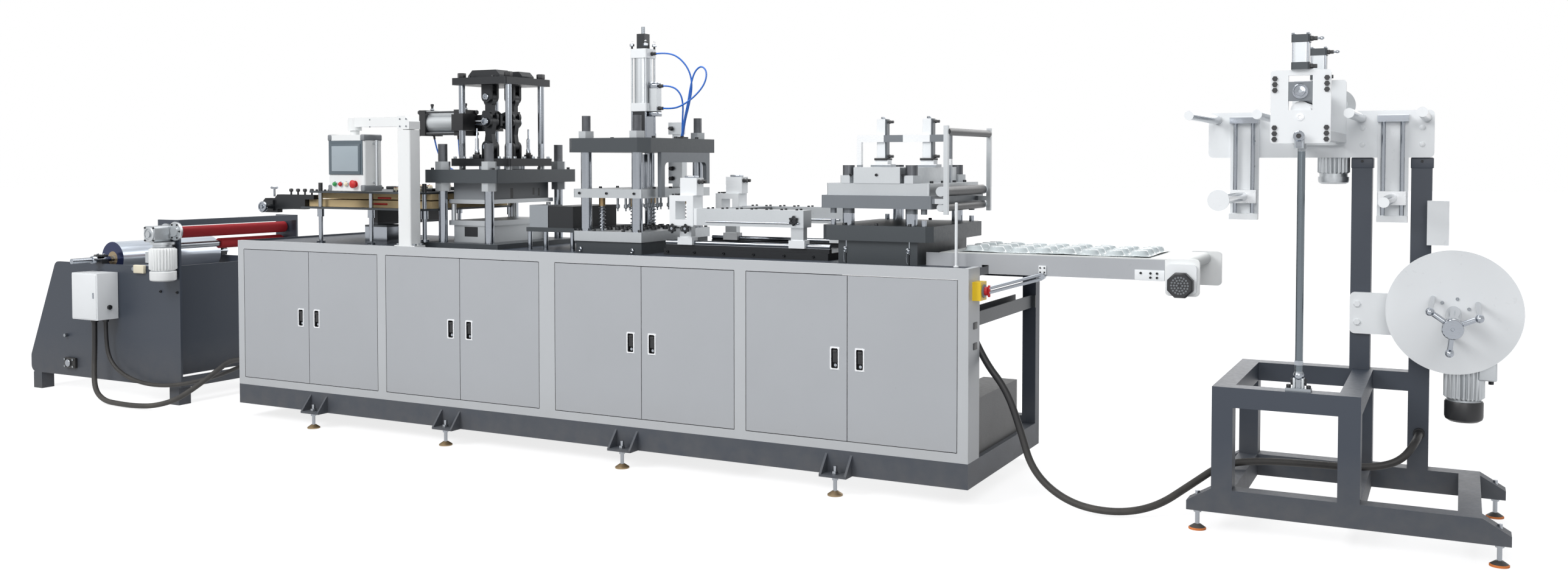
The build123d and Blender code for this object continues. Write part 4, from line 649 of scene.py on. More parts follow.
# Thin black strips: painted shade where the doors meet the frame.
gap_shade = Piece("door_gap_shade")
gap_shade.add(block(at(edges, -0.4752, 0.547), (2.2, 1.2, 668), 0.4, 2))
gap_shade.make("black")

# %% [markdown]
# ## Cap screws
#
# The plates are held by rows of cap screws. One profile is turned at every place of a lattice, so
# each row costs a line. Those on a moving plate are a piece of their own and ride with it. The
# heater's screws keep clear of the panel's swing and of the pillars.

# %%
PANEL_X, PANEL_Y = -1.228, -0.412


def clear_of_panel(places, reach):
    """The places further than reach from the panel's swivel, seen from above."""
    return places[np.hypot(places[:, 0] - PANEL_X, places[:, 1] - PANEL_Y) > reach]


heater_rows = at(np.linspace(-1.585, -0.875, 13), (-0.328, -0.302, 0.302, 0.328), 1.184)
heater_rows = clear_of_panel(heater_rows, 0.19)
from_pillar = np.abs(heater_rows[:, :1] - (-1.56, -1.21, -0.858)).min(1)
screws = Piece("machine_screws")
screws.screws(6.5, 8, heater_rows[from_pillar > 0.024])
screws.screws(8, 10, at((-0.832, -0.642, -0.452), (-0.296, 0.296), 1.295))
screws.screws(8, 10, at((-0.715, -0.569), (-0.155, -0.021, 0.021, 0.155), 1.750))
screws.screws(9, 10, at((0.03, 0.39), (-0.19, 0.0, 0.19), 1.442))
screws.screws(8, 9, at((0.04, 0.13, 0.29, 0.38), (-0.29, 0.29), 1.016))
screws.screws(8, 9, at((1.40, 1.544, 1.69), (-0.305, 0.305), 1.073))
screws.screws(4.5, 4, at(2.600, -0.2535, 0.917), "-Y")
screws.screws(4.5, 4, at((2.636, 2.660), -0.2535, (0.917, 0.901)), "-Y")
screws.turn(rod(3.5, 1.2), at((2.855, 2.930, 3.393, 3.468), 0.273, (1.316, 1.416)), "-Y", HEAD_COLUMNS)
screws.screws(7, 8, at((-2.69, -2.556), -0.41, (0.72, 0.62)), "-Y")
screws.screws(6, 7, at((0.49, 0.63, 0.78, 0.93, 1.08, 1.22), -0.23, 0.93), "-Y")
screws.make("iron")

moving = Piece("crosshead_screws")
moving.screws(8, 10, at((-0.812, -0.752, -0.532, -0.472), (-0.155, -0.035, 0.035, 0.155), 1.350))
moving.make("steel", body="forming_crosshead")
platen = Piece("platen_screws")
platen.screws(8, 8, at((0.06, 0.36), (-0.14, 0.0, 0.14), 1.21))
platen.screws(6, 6, at((0.06, 0.21, 0.36), -0.305, 1.19), "-Y")
platen.make("iron", body="cutting_platen")
stack = Piece("stacking_screws")
stack.screws(8, 9, at((1.345, 1.743), (-0.2, -0.07, 0.07, 0.2), 1.246))
stack.screws(6, 6, at((1.43, 1.544, 1.66), -0.305, 1.28), "-Y")
stack.make("iron", body="stacking_platen")

# %% [markdown]
# ## Heater terminals
#
# The heating bars end in ceramic blocks with a copper strip and a screw each. Two red clips hold
# the slabs' covers.

# %%
heater = Piece("heater_terminals")
terminal = clear_of_panel(at(np.linspace(-1.50, -0.96, 9), (-0.262, 0.262), 1.194), 0.20)
heater.block(terminal, (30, 24, 20), 3)
heater.block(terminal + (0, 0, 0.0105), (14, 34, 2), 0.8, 1)
heater.screws(4.5, 5, terminal + (0, 0, 0.0112), "Z", 2)
heater.block(at((-1.45, -1.05), (-0.18, 0.18), 1.192), (260, 50, 16), 4, 3)
heater.draw(at((-1.195, -1.110), -0.2925, 1.1507), 4.5, 10, 4)
heater.draw(at((-1.222, -1.135), -0.2925, 1.1205), 4.5, 10, 4)
heater.make("cream", "copper", "steel", "iron", "red")

# %% [markdown]
# ## Knobs of the inlet guide
#
# A round hand knob with a ring closes the guide's roll. At each side a T-handle clamps it from
# above, and four small black knobs stand in a row behind the handle.

# %%
knob = outline((12, 0), (12, 10), (26, 12), (29, 18), (29, 26), (26, 30), (20, 30), (18, 26), (10, 26),
               (8, 33))
small_knob = outline((5, 0), (5, 14), (10, 16), (11, 26), (8, 31), (0, 32))
guide = Piece("guide_knobs")
guide.turn(knob, (-1.915, -0.364, 1.098), "-Y", 32)
guide.turn(rod(6, 44), at(-1.925, (-0.3, 0.3), 1.150), "Z", 16)
for y in (-0.3, 0.3):
    guide.draw([(-1.948, y, 1.197), (-1.925, y, 1.194), (-1.902, y, 1.197)], 6, 12)
guide.turn(small_knob, at(np.linspace(-1.80, -1.65, 4), (-0.3, 0.3), 1.162), "Z", 16, 1)
guide.make("chrome", "black")

# %% [markdown]
# ## Pendant panel
#
# The panel has dark corner caps, a grey screen in a bezel and a row of buttons. The screen is off,
# so it is smooth glass with a soft change of tone, and a faint painted glow of its own colour.

# %%
panel = Piece("panel_trim")
panel.block(at((-1.337, -1.119), -0.414, (1.204, 1.452)), (28, 125, 32), 7)
panel.block((PANEL_X, -0.4785, 1.347), (200, 5, 150), 2, 1)
panel.make("grey", "bezel", body="control_panel")
screen = Piece("panel_screen").block((PANEL_X, -0.4812, 1.349), (176, 2, 124), 0.8)
# The screen's faint glow is painted light: the screen is off.
screen.make(dressed("screen_glass", "screen", peel=0.0, cloud=0.10, glow=0.06), body="control_panel")
collar = outline((13.5, 0), (13.5, 3), (11, 4))
cap = outline((11, 0), (11, 4), (8.5, 5), (8.5, 10), (6, 12), (0, 12.5))
stop = outline((17, 0), (17, 4), (9, 6), (9, 12), (19, 14), (20, 20), (14, 26), (0, 28))
buttons = Piece("panel_buttons")
for finish, x in enumerate((-1.300, -1.262, -1.224), 1):
    buttons.turn(collar, (x, -0.473, 1.223), "-Y")
    buttons.turn(cap, (x, -0.4765, 1.223), "-Y", 24, finish)
buttons.turn(stop, (-1.168, -0.473, 1.224), "-Y", 32, 2)
buttons.make("chrome", "green", "red", "cream", body="control_panel")
arm = Piece("pendant_screws")
arm.screws(3.5, 3, at(-1.105, -0.434, (1.505, 1.540)), "-Y")
arm.screws(4.5, 4, at((-0.895, -0.855), -0.4485, (1.505, 1.54)), "-Y")
arm.make("steel", body="pendant_arm")
post = Piece("pendant_bolts").nuts(9, 8, at((-0.927, -0.823), (-0.434, -0.390), 0.929))
post.make("steel")

# %% [markdown]
# ## Toggle pins and stops
#
# The pins of the toggles end in bright rings. Hexagon caps close the columns, and two slim stops
# on black feet stand on the crosshead.

# %%
PRESS_X, KNEE_Z = -0.642, 1.533
ring = outline((17.5, 0), (17.5, 5), (15, 7), (9, 7), (7, 3))
for name, body, z in (
        ("toggle_pin_ends", "toggle_upper", 1.657), ("toggle_foot_ends", "toggle_lower", 1.409)):
    pins = Piece(name)
    for axis, way in (("-Y", -1), ("Y", 1)):
        pins.turn(ring, at(PRESS_X, (way * 0.1202, way * -0.0558), z), axis)
        if body == "toggle_upper":
            pins.turn(ring * (1.15, 1.6), (PRESS_X, way * 0.1262, KNEE_Z), axis)
    pins.make("chrome", body=body)
caps = Piece("toggle_column_caps").nuts(18.5, 26, at((-0.789, -0.495), (-0.127, 0.127), 1.7502))
caps.make("black")
foot = np.array([(-0.678, -0.146, 1.360), (-0.591, 0.146, 1.360)])
slim = outline((11, 0), (11, 26), (9, 30), (9, 78), (4.5, 84), (4.5, 130), (0, 131))
stops = Piece("crosshead_stops")
stops.block(foot, (40, 22, 20), 2)
stops.turn(slim, foot + (0, 0, 0.009), "Z", 20, 1)
stops.nuts(11.5, 10, foot + (0, 0, 0.010))
stops.make("black", "chrome", body="forming_crosshead")

# %% [markdown]
# ## Air cylinders
#
# Nuts on four tie rods hold a cylinder's caps. Small elbows with hexagon feet take the hoses. A
# bolted cover closes the toggle cylinder's head, and eyes stand on the booster's corner nuts.

# %%
def eyelet(x, y, z, radius):
    """A closed round path from the bottom up: (x + r sin a, y, z - r cos a)."""
    angle = np.linspace(0, 2 * np.pi, 17)
    return np.column_stack([
        x + radius / 1000 * np.sin(angle), np.full(17, y), z - radius / 1000 * np.cos(angle)])


elbow = outline((8.5, 0), (8.5, 8), (6.8, 10), (6.8, 22))
bleed_valves = at((-1.10, -0.877), 0.0, 1.5992)
tie_nuts = at(-1.129, (-0.055, 0.055), (KNEE_Z - 0.055, KNEE_Z + 0.055))
booster_corners = at((0.172, 0.248), (-0.038, 0.038), 1.878)
air = Piece("cylinder_nuts")
air.nuts(10.5, 11, tie_nuts, "-X")
air.nuts(10.5, 11, tie_nuts + (0.272, 0, 0), "X")
air.nuts(9.5, 12, booster_corners, "Z", 1)
air.nuts(9, 10, bleed_valves, "Z", 2)
air.turn(outline((6, 0), (6, 12), (8.5, 14), (8.5, 24), (0, 26)), bleed_valves + (0, 0, 0.0093), "Z", 16, 3)
air.hexagons(elbow, [(0.2562, 0, 1.843), (0.2985, 0, 1.690), (0.2985, 0, 1.585)], "X", 3)
air.nuts(7, 10, at((0.266, 0.290), (-0.014, 0.014), 1.7), "Z", 1)
air.block(at(0.277, 0, (1.558, 1.690)), (46, 46, 20), 3, 1)
air.turn(outline((33, 0), (33, 6), (30, 9)), (-0.836, -0.084, KNEE_Z), "-Y", 40)
air.screws(4.5, 3, around((-0.836, -0.093, KNEE_Z), 21, circle(5, 0.5)), "-Y", 2)
for x, y, _ in booster_corners:
    air.draw(eyelet(x, y, 1.897, 6.5), 2.2, 8, 4)
air.make("black", "chrome", "steel", "black", "bright")

stack_air = Piece("stacking_cylinder_trim")
stack_air.block(at((1.444, 1.654), 0.0, 1.345), (60, 60, 10), 2, 1)
stack_air.hexagons(elbow * (0.8, 1), at((1.470, 1.680), 0.0, (1.357, 1.505)), "X", 1)
stack_air.nuts(8, 10, at((1.444, 1.654), 0.0, 1.517))
stack_air.make("chrome", "black", body="stacking_platen")

tip = outline((4, 0), (4, 8), (6, 10), (6, 16), (3.5, 20), (0, 22))
nip_air = Piece("nip_cylinder_trim")
for y in (-0.380, 0.255):
    corner = at((3.143, 3.191), (y - 0.024, y + 0.024), 1.6765)
    nip_air.turn(rod(3.2, 68.5), corner - (0, 0, 0.0003), "Z", HEAD_COLUMNS)
    nip_air.nuts(5.5, 6, corner + (0, 0, 0.0945))
    nip_air.hexagons(elbow * (0.9, 1), at(3.197, y, (1.663, 1.758)), "X", 1)
    nip_air.turn(tip, (3.219, y, 1.758), "X", 16)
nip_air.make("chrome", "black")

# %% [markdown]
# ## Nip plates
#
# The front nip plate has three nuts at each corner. A bearing shows in its window, a washer below
# it, and a rod end holds the plate to the tension rod. A turned bell joins motor and roller behind.

# %%
NIP_Y, ROD_X = -0.392, 3.167
bearing = outline((26, 0), (26, 6), (23.5, 8), (20.5, 8), (19.5, 3), (17.5, 3), (16.5, 9), (6.5, 10),
                  (5.5, 6))
washer = outline((12.5, 0), (12.5, 3), (7, 4), (6, 2))
rod_end = outline((8.5, -6), (15, -6), (18.5, -3), (18.5, 3), (15, 6), (8.5, 6), (8.5, -6))
nip_trim = Piece("nip_plate_trim")
nip_trim.nuts(8.2, 6, at((3.084, 3.252), NIP_Y, (1.412, 1.432, 1.452, 1.582, 1.602, 1.622)), "-Y")
nip_trim.turn(bearing, (ROD_X, NIP_Y, 1.577), "-Y", 40, 1)
nip_trim.turn(washer, (ROD_X, NIP_Y, 1.488), "-Y", 28, 2)
nip_trim.turn(rod_end, (ROD_X, -0.4225, 1.4225), "Y", 36, 1)
nip_trim.nuts(8.0, 9, (ROD_X, -0.4165, 1.4225), "-Y")
nip_trim.hexagons(rod(9.5, 18), (ROD_X, -0.4225, 1.3850), "Z", 1)
nip_trim.make("black", "chrome", "bright")
bell = outline((36, 0), (40, 4), (58, 40), (62, 44), (62, 52))
Piece("nip_gearbox").turn(bell, (3.232, 0.299, 1.555), "Y", 40).make("alloy")

# %% [markdown]
# ## Springs of the cutting tool
#
# Four guide posts carry coil springs. A coil is a ring carried along a helix. Its turns lie a
# little closer at both ends, because the height is s - 0.035 sin(2 pi s). The studs and the dies
# that cut the cups are turned.

# %%
TURNS, STEPS_ROUND, COIL_RADIUS = 7, 20, 0.0145
along = np.linspace(0, 1, TURNS * STEPS_ROUND + 1)
wound = 2 * np.pi * TURNS * along
lift = along - 0.035 * np.sin(2 * np.pi * along)
for index, (y, x) in enumerate(at((-0.215, 0.215), (0.122, 0.298), 0)[:, :2]):
    helix = np.column_stack([
        x + COIL_RADIUS * np.cos(wound), y + COIL_RADIUS * np.sin(wound), 1.0185 + lift * 0.106])
    coil = Piece(f"tool_spring_{index + 1}").draw(helix, 2.1, 8).make("chrome")
    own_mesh(coil)

DIE_ROWS = (-0.15, -0.05, 0.05, 0.15)
stud = outline((6, 0), (6, 34), (10, 35), (10, 50), (4, 54), (4, 66))
studs = Piece("cutting_studs").turn(stud, at((0.165, 0.21, 0.255), DIE_ROWS, 1.169), "-Z", 16)
studs.make("steel", body="cutting_platen")
die = outline((14, 0), (14, 12), (11, 16), (8, 16), (7, 4))
dies = Piece("cutting_dies").turn(die, at((0.12, 0.165, 0.21, 0.255, 0.30), DIE_ROWS, 1.016), "Z", 16)
dies.make("iron")

# %% [markdown]
# ## Valves and grippers
#
# The valve stand has elbows on its rear. The carriage's two beams carry screws, a plate, elbows and
# a slim tube each, and the near one has star knobs, which are circles with six lobes.

# %%
valves = Piece("valve_knobs")
for x, zs in ((0.152, (1.25, 1.30, 1.35)), (0.150, 1.50)):
    valves.hexagons(elbow * (1.2, 1), at(x, 0.346, zs), "-Y")
valves.make("black")
grip = Piece("gripper_trim")
for y in (-0.205, 0.205):
    grip.screws(6, 6, at((0.52, 0.545), (y - 0.026, y, y + 0.026), 1.184))
    grip.screws(6, 6, at(np.linspace(0.70, 1.14, 7), (y - 0.02, y + 0.02), 1.126))
    grip.block((0.603, y, 1.2665), (50, 44, 10), 3, 1)
    grip.hexagons(elbow, at(0.646, (y - 0.015, y + 0.015), 1.245), "X", 2)
    grip.draw(at(np.linspace(0.70, 1.16, 12), y - 0.0425, 1.07), 4, 10, 1)
star = outline((17, 0), (19, 3), (19, 9), (16, 12), (8, 12), (7, 9))
pair = at((0.5285, 0.5977), -0.2475, 1.036)
grip.turn(star, [*pair, (1.135, -0.2435, 1.082)], "-Y", 48, 0, lobes=6)
grip.hexagons(rod(6, 4), pair - (0, 0.008, 0), "-Y", 1)
grip.make("iron", "chrome", "black", body="transport_carriage")

# %% [markdown]
# ## The formed sheet on the belt
#
# Cups are pressed from film. Height is a smooth step of the distance from the nearest cup's
# middle, over a slight sag, on a grid of cups.

# %%
SHEET_START, SHEET_Z, CUP_PITCH = 1.86, 0.9722, 0.095
x, y = np.meshgrid(np.linspace(SHEET_START, 2.62, 229), np.linspace(-0.20, 0.20, 121), indexing="ij")
from_cup = np.hypot((x - SHEET_START) % CUP_PITCH - CUP_PITCH / 2, (y + 0.19) % CUP_PITCH - CUP_PITCH / 2)
step = np.clip((0.040 - from_cup) / 0.014, 0, 1)
cups = step * step * (3 - 2 * step)
z = SHEET_Z + 0.020 * cups + 0.003 * np.sin(9 * x) ** 2 + 0.002 * np.cos(11 * y) ** 2
sheet = Piece("formed_sheet").add(np.stack([x, y, z], -1), wrap=False)
formed = sheet.make(dressed("formed_film", "cup_film", cloud=0.16, peel=0.2))
thick = formed.modifiers.new("film", "SOLIDIFY")
thick.thickness = 0.0012
thick.offset = -1

# %% [markdown]
# ## Lifting eyes, guide rod and stay
#
# Each press base has two small eyes, and those of the stacking press hold a drop link. A thin
# white rod guides the cut sheet behind the gate, and a pair of stay tubes runs from the switch to
# a hinge on the conveyor's side. The rewinder's posts have shoes, screws and round buffers.

# %%
bracket = Piece("eyes_and_stay")
for x, z in ((0.0595, 0.9316), (0.3451, 0.9316), (1.4004, 0.9724), (1.6801, 0.9724)):
    y = -0.295
    bracket.turn(outline((6, 0), (6, 3), (3, 5)), (x, y, z), "-Y", 16)
    bracket.draw(eyelet(x, y - 0.0065, z, 8.5), 2.2, 8)
    if x > 1:
        drop = np.linspace(0, 1, 12)
        bracket.draw(np.column_stack([
            x - 0.004 * np.sin(3 * drop), np.full(12, y - 0.010), z - 0.008 - 0.044 * drop]), 1.2, 8)
guide_rod = outline((11, 0), (11, 4), (6, 6), (6, 255), (4, 257))
bracket.turn(guide_rod, (1.888, -0.305, 0.9155), "Z", 20, 1)
for rise in (-0.0085, 0.0085):
    bracket.draw([(2.055, -0.398, 0.839 + rise), (2.225, -0.268, 0.889 + rise)], 6.5, 16)
bracket.turn(outline((12, -10), (12, 10)), (2.227, -0.266, 0.889), "Y")
bracket.block((2.2227, -0.2525, 0.9125), (30, 5, 36), 1.5, 1)
bracket.screws(3.2, 3, at((2.2145, 2.231), -0.255, (0.905, 0.922)), "-Y", 2)
bracket.nuts(11, 7, at(3.312, 0.283, (0.715, 0.785)), "-Y", 1)
bracket.block((2.632, -0.2515, 0.909), (110, 4, 40), 1.5, 1)
POSTS = (3.3230, 3.5310)
bracket.block(at(POSTS, 0.335, 1.329), (78, 78, 40), 3, 3)
bracket.screws(5, 4, at(POSTS, 0.296, 1.336), "-Y", 2)
bracket.turn(outline((10, 0), (9, 4), (5, 6), (0, 6.5)), at(POSTS, 0.283, (1.400, 1.4635)), "-Y", 20, 1)
bracket.make("chrome", "white", "iron", "slate")

# %% [markdown]
# ## Motors
#
# A motor's body is ribbed along its length. The rib height is a power of a cosine round the axis.
# A turned cover closes the fan end. One motor has a terminal box with a gland.

# %%
def ribbed(place, radius, rib, count, low, high, columns=168):
    """Radius r + rib times |cos(n a / 2)|^4, carried from low to high, drawn in at both ends."""
    angle = circle(columns)
    wave = np.abs(np.cos(count * angle / 2)) ** 4
    rows = np.array([(0, 0, low), (0.97, 0, low), (1, 0, low + 3), (1, 1, low + 8),
                     (1, 1, high - 8), (1, 0, high - 3), (0.97, 0, high), (0, 0, high)])
    reach = rows[:, :1] * radius + rows[:, 1:2] * rib * wave[None]
    grid = np.stack([reach * np.cos(angle), reach * np.sin(angle), np.repeat(rows[:, 2:], columns, 1)], -1)
    return np.array(place) + grid / 1000


unwinder_cover = outline((55, 687), (66, 693), (68, 700), (68, 738), (65.5, 741))
reel_cover = outline((50, 369), (63, 378), (66, 388), (66, 440), (63, 446))
nip_cover = outline((45, 1247), (55, 1253), (57, 1262), (57, 1275))
motors = Piece("motor_ribs")
for place, ribs, finish, cover, columns, cover_finish in (
        ((-2.586, -0.474, 0), (62.5, 8, 28, 745, 868), 0, unwinder_cover, 48, 0),
        ((3.684, 0.250, 0), (60.5, 9, 26, 452, 640), 1, reel_cover, 48, 2),
        ((3.216, 0.358, 0), (52.5, 7, 24, 1285, 1425), 1, nip_cover, 40, 1)):
    motors.add(ribbed(place, *ribs), finish)
    motors.turn(cover, place, "Z", columns, cover_finish)
motors.block((3.760, 0.235, 0.568), (62, 70, 78), 6, 1)
motors.nuts(9, 16, (3.772, 0.235, 0.530), "-Z", 3)
motors.make("panel", "alloy", "black", "iron")

# %% [markdown]
# The worm gearbox by the red roller shows a round hub in a square flange with corner bolts, and
# a bolted disc on the column. The belt's motor ends in an eight-sided cover with rings of holes.

# %%
hub = outline((40, 0), (40, 4), (34, 8), (30, 8), (28, 3), (18, 3), (17, 12), (8, 13))
disc = outline((52, 0), (52, 10), (49, 13), (30, 13), (28, 20))
end = outline((40, 0), (46, 6), (46, 30), (41, 36))
hole = outline((3.6, 0), (3.6, 1.2), (2.8, 1.2), (2.8, 0.4))
drive = Piece("gearbox_trim")
drive.turn(hub, (-2.630, -0.522, 0.942), "-Y", 40)
drive.screws(5, 5, at((-2.664, -2.596), -0.522, (0.908, 0.976)), "-Y", 1)
drive.turn(disc, (-2.556, -0.410, 0.955), "-Y", 40)
drive.screws(5, 4, around((-2.556, -0.423, 0.955), 40, circle(6)), "-Y", 1)
drive.turn(end, (2.752, -0.2722, 0.880), "-Y", 16, 2, 8)
for count, reach in ((6, 10), (12, 20), (18, 30)):
    drive.turn(hole, around((2.752, -0.3080, 0.880), reach, circle(count)), "-Y", 10, 3)
drive.make("alloy", "iron", "black", "grey")

# %% [markdown]
# ## Unwinder hardware
#
# Caps with bolts hold the shaft's ends. The white box has a seam, a latch and a gland. A pale
# sensor sits under the motor, and an eyelet and a bearing block stand low on the plate.

# %%
unwinder = Piece("unwinder_hardware")
unwinder.block(at(ROLL_X, (-0.404, 0.404), 0.800), (74, 42, 12), 4)
unwinder.nuts(6, 6, at((-3.232, -3.178), (-0.404, 0.404), 0.806), "Z", 1)
unwinder.block((-3.1565, -0.5435, 0.582), (207, 3, 250), 1.2, 2)
unwinder.block((-3.075, -0.5465, 0.590), (10, 6, 32), 2, 3)
unwinder.nuts(12, 14, (-3.048, -0.470, 0.520), "X", 4)
unwinder.block((-2.852, -0.420, 0.7375), (85, 20, 46), 4, 5)
unwinder.turn(nut(11, 16), (-2.903, -0.410, 0.737), "-Y", 24, 1)
unwinder.turn(nut(10, 20), (-3.506, -0.410, 0.330), "-Y", 24, 1)
unwinder.block((-3.466, -0.420, 0.173), (95, 20, 60), 6)
unwinder.turn(nut(21, 12), (-3.466, -0.430, 0.173), "-Y", 32, 3)
unwinder.nuts(6, 6, at((-3.502, -3.430), -0.430, (0.153, 0.193)), "-Y", 1)
unwinder.turn(outline((22, 0), (22, 20), (19, 24)), (ROLL_X, -0.44, ROLL_Z), "-Y", 32, 3)
unwinder.make("iron", "steel", "white", "chrome", "black", "cream")

# %% [markdown]
# ## Isolator
#
# The main switch is a yellow box with a red turning handle. Two dark inlets sit below it.

# %%
switch = Piece("isolator_handle")
switch.turn(outline((26, 0), (26, 4), (22, 6)), (2.034, -0.398, 0.836), "X", 32)
switch.turn(outline((17, 0), (17, 10), (15, 12)), (2.040, -0.398, 0.836), "X", 32, 1)
switch.block((2.0555, -0.398, 0.836), (10, 10, 46), 3, 1)
switch.block(at(2.0015, -0.398, (0.62, 0.70)), (3, 40, 26), 1, 2)
switch.make("grey", "red", "black")

# %% [markdown]
# ## Rewinder hardware
#
# The tension rod stands in a clevis: two cheeks, a ball end and two cap screws. The reel's hub has
# a round front, and each film bar ends in a ball.

# %%
ROD_Y, REEL_X, REEL_Z = -0.334, 3.646, 0.780
clevis = Piece("rod_clevis")
clevis.block(at((3.153, 3.181), ROD_Y, 0.5545), (10, 30, 45), 4)
clevis.turn(outline((7, -20), (7, 20)), (ROD_X, ROD_Y, 0.563), "X", 24, 1)
clevis.nuts(11, 6, (3.187, ROD_Y, 0.563), "X", 2)
clevis.nuts(11, 6, (3.147, ROD_Y, 0.563), "-X", 2)
clevis.screws(8, 10, at((3.134, 3.200), ROD_Y, 0.542), "Z", 2)
clevis.turn(ball(18.5), (ROD_X, ROD_Y, 0.585), "Z", 24, 1)
clevis.turn(outline((10, 0), (10, 22), (14, 24), (14, 40)), (ROD_X, ROD_Y, 0.598), "Z", 24, 1, HEX)
clevis.make("alloy", "chrome", "iron")

front = outline((30, 0), (34, 4), (34, 30), (31, 34), (6, 34), (5, 31))
hub_piece = Piece("reel_hub")
hub_piece.turn(front, (REEL_X, -0.352, REEL_Z), "-Y", 40)
hub_piece.turn(ball(13.5), around((REEL_X, -0.337, REEL_Z), 86, circle(3, math.radians(24))), "Y", 20)
hub_piece.screws(6, 5, around((REEL_X, 0.170, REEL_Z), 52, circle(6, 0.3)), "-Y", 1)
hub_piece.make("chrome", "steel", body="reel")

# %% [markdown]
# ## Conduits and hoses
#
# Each cord follows the same points as the rigid model's tube, as a smooth curve with a round
# section.

# %%
def run_cord(name, points, diameter, material):
    """A curve with a round section through the route's points, which are in millimetres."""
    points = np.array(points) / 1000
    curve = bpy.data.curves.new(name, "CURVE")
    curve.dimensions = "3D"
    curve.bevel_depth = diameter / 2
    curve.bevel_resolution = 5
    curve.resolution_u = 10
    curve.use_fill_caps = True
    line = curve.splines.new("NURBS")
    line.points.add(len(points) - 1)
    line.points.foreach_set("co", np.column_stack([points, np.ones(len(points))]).ravel())
    line.order_u = 3
    line.use_endpoint_u = True
    curve.materials.append(material)
    cord = bpy.data.objects.new(name, curve)
    bpy.context.collection.objects.link(cord)
    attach(cord, "machine")
    return cord


conduit_right = run_cord("right_conduit", [
    (1950, -318, 682), (2010, -333, 562), (2110, -340, 450), (2165, -340, 300), (2215, -342, 140),
    (2350, -345, 40), (2520, -335, 17), (2660, -250, 35), (2770, -130, 110), (2870, -20, 180),
    (3010, 35, 192), (3170, 60, 192), (3310, 80, 190), (3420, 100, 200), (3490, 125, 232), (3534, 184, 300),
    (3534, 282, 300),
], 0.028, PLAIN["cable"])
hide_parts("conduit_right")
conduit_left = run_cord("left_conduit", [
    (-3133, -500, 436), (-3133, -500, 306), (-3127, -512, 170), (-3080, -540, 60), (-2960, -568, 17),
    (-2820, -586, 17), (-2680, -594, 18), (-2540, -580, 26), (-2410, -545, 62), (-2300, -500, 138),
    (-2200, -452, 222), (-2116, -425, 290), (-2016, -425, 290),
], 0.028, PLAIN["cable"])
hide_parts("conduit_left")
run_cord("drive_conduit", [
    (-3090, -462, 436), (-3090, -462, 350), (-3075, -460, 245), (-3018, -457, 178), (-2925, -454, 136),
    (-2820, -452, 113), (-2710, -450, 106), (-2595, -449, 112), (-2480, -445, 128), (-2370, -436, 152),
    (-2265, -420, 180), (-2170, -395, 215), (-2096, -370, 250), (-2016, -370, 250),
], 0.022, PLAIN["cable"])
hoses = (
    [(284, 0, 1843), (340, 2, 1846), (400, 12, 1825), (447, 30, 1765), (455, 45, 1690), (430, 55, 1600),
     (400, 65, 1525), (385, 72, 1456)],
    [(322, 0, 1690), (368, 5, 1690), (408, 16, 1655), (412, 32, 1600), (396, 50, 1525), (388, 60, 1456)],
    [(322, 0, 1585), (365, -6, 1582), (420, -10, 1590), (490, -5, 1630), (545, 5, 1690), (555, 12, 1750),
     (520, 20, 1782), (478, 25, 1755), (455, 28, 1690), (438, 32, 1610), (412, 40, 1530), (393, 48, 1456)],
    [(-1085, 0, 1450), (-1080, 8, 1400), (-1062, 22, 1345), (-1018, 36, 1300), (-950, 46, 1272),
     (-890, 50, 1263)],
    [(-925, 0, 1450), (-932, 12, 1405), (-945, 30, 1355), (-945, 55, 1300), (-925, 72, 1268),
     (-890, 78, 1263)],
)
for index, route in enumerate(hoses):
    hose = run_cord(f"air_hose_{index + 1}", route, 0.008, PLAIN["hose"])
    if index == 0:
        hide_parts("air_hoses")

# %% [markdown]
# ## Studio
#
# The portrait stands on a white floor under soft lamps. The floor adds its own light for the
# camera and for mirrors, a little more far away, so that it melts into the white behind and only
# the shadow shows. The sky that lights the machine darkens towards the horizon.

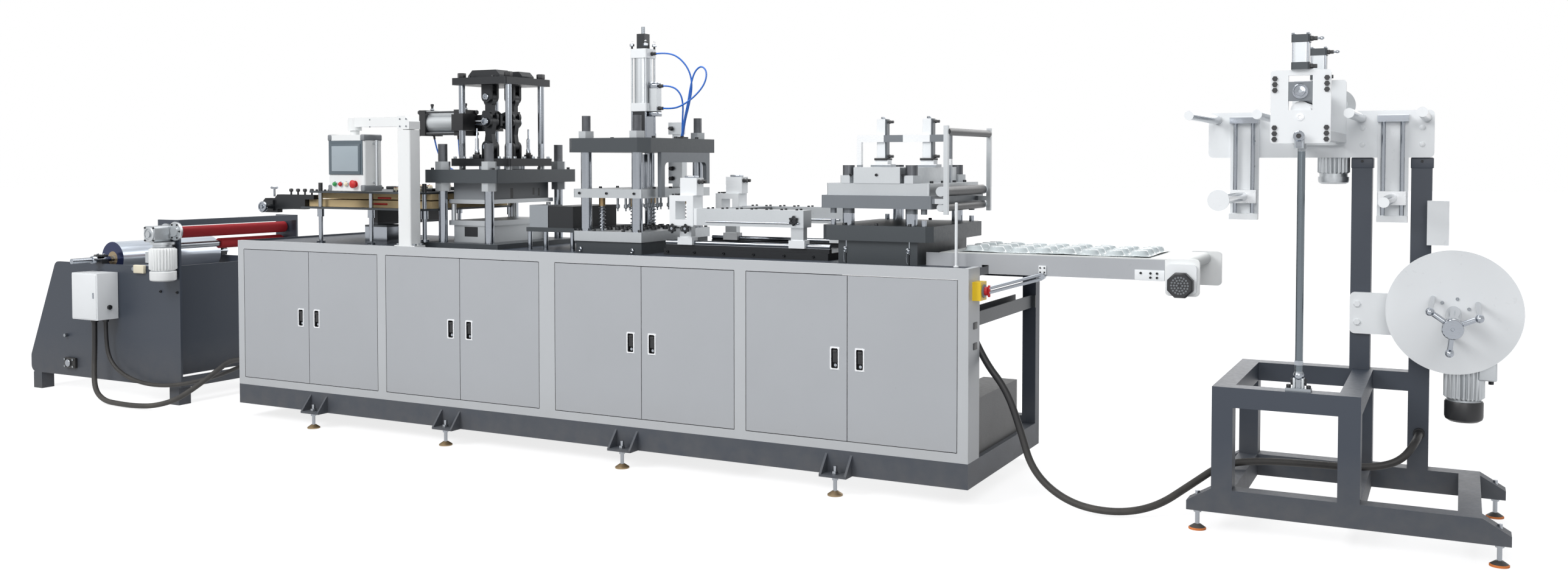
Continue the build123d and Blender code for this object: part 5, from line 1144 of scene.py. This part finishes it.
# %%
REACH, FLOOR_Z = 60.0, -0.0005
floor_mesh = bpy.data.meshes.new("studio_floor")
floor_mesh.from_pydata([
    (-REACH, -REACH, FLOOR_Z), (REACH, -REACH, FLOOR_Z), (REACH, REACH, FLOOR_Z), (-REACH, REACH, FLOOR_Z),
], [], [(0, 1, 2, 3)])
floor = bpy.data.objects.new("studio_floor", floor_mesh)
bpy.context.collection.objects.link(floor)
white_floor = bpy.data.materials.new("white_floor")
graph = Graph(white_floor, "Object", "OutputMaterial")
matt = graph.node("BsdfDiffuse", (0.34, 0.34, 0.345, 1))
away = graph.node("VectorMath", graph.where, operation="LENGTH").outputs["Value"]
lift = graph.calc("MULTIPLY", graph.seen_rays(), graph.ranged(away, 4.5, 12.0, 0.80, 1.0))
glow = graph.node("Emission", named={"Strength": lift})
both = graph.node("AddShader", matt.outputs[0], glow.outputs[0])
graph.feed(graph.output.inputs["Surface"], both.outputs[0])
floor_mesh.materials.append(white_floor)

scene = bpy.context.scene
world = bpy.data.worlds.new("studio")
scene.world = world
graph = Graph(world, "Generated", "OutputWorld")
ramp = graph.node("ValToRGB", graph.axes[2])
stops = ((0.02, (0.30, 0.31, 0.33, 1)), (0.62, (0.92, 0.93, 0.95, 1)))
for element, (position, colour) in zip(ramp.color_ramp.elements, stops):
    element.position = position
    element.color = colour
sky = graph.node("Background", ramp.outputs[0], 0.60)
back = graph.node("Background", (1, 1, 1, 1))
pick = graph.node("MixShader", graph.seen_rays(), sky.outputs[0], back.outputs[0])
graph.feed(graph.output.inputs["Surface"], pick.outputs[0])


def lamp(name, place, target, power, size):
    """A square soft lamp aimed at a point."""
    light = bpy.data.lights.new(name, "AREA")
    light.energy = power
    light.size = size
    made = bpy.data.objects.new(name, light)
    made.location = place
    x, y, z = np.array(target, float) - np.array(place, float)
    made.rotation_euler = (math.atan2(math.hypot(x, y), -z), 0, math.atan2(y, x) - math.pi / 2)
    bpy.context.collection.objects.link(made)


lamp("key", (-2.5, -6.5, 5.5), (0, 0, 0.8), 400, 4.0)
lamp("fill", (4.2, -6.2, 3.4), (3.4, 0, 0.9), 150, 3.0)
lamp("top", (0.0, 1.0, 6.5), (0, 0, 1.0), 240, 5.0)
lamp("rear", (2.5, 6.0, 4.0), (0.5, 0, 1.0), 120, 4.0)

# %% [markdown]
# ## Camera
#
# It stands at chest height beyond the right end, looking back along the line. Its place was found
# from the straight edges of the cabinets in the photograph.

# %%
eye = bpy.data.cameras.new("eye")
eye.lens = 30.083
eye.sensor_width = 36.0
eye.shift_y = -0.0542
camera = bpy.data.objects.new("eye", eye)
camera.location = (3.665, -5.2275, 1.335)
camera.rotation_euler = (math.radians(88.187), 0, math.radians(27.348))
bpy.context.collection.objects.link(camera)
scene.camera = camera
scene.view_settings.view_transform = "Standard"
scene.view_settings.look = "None"
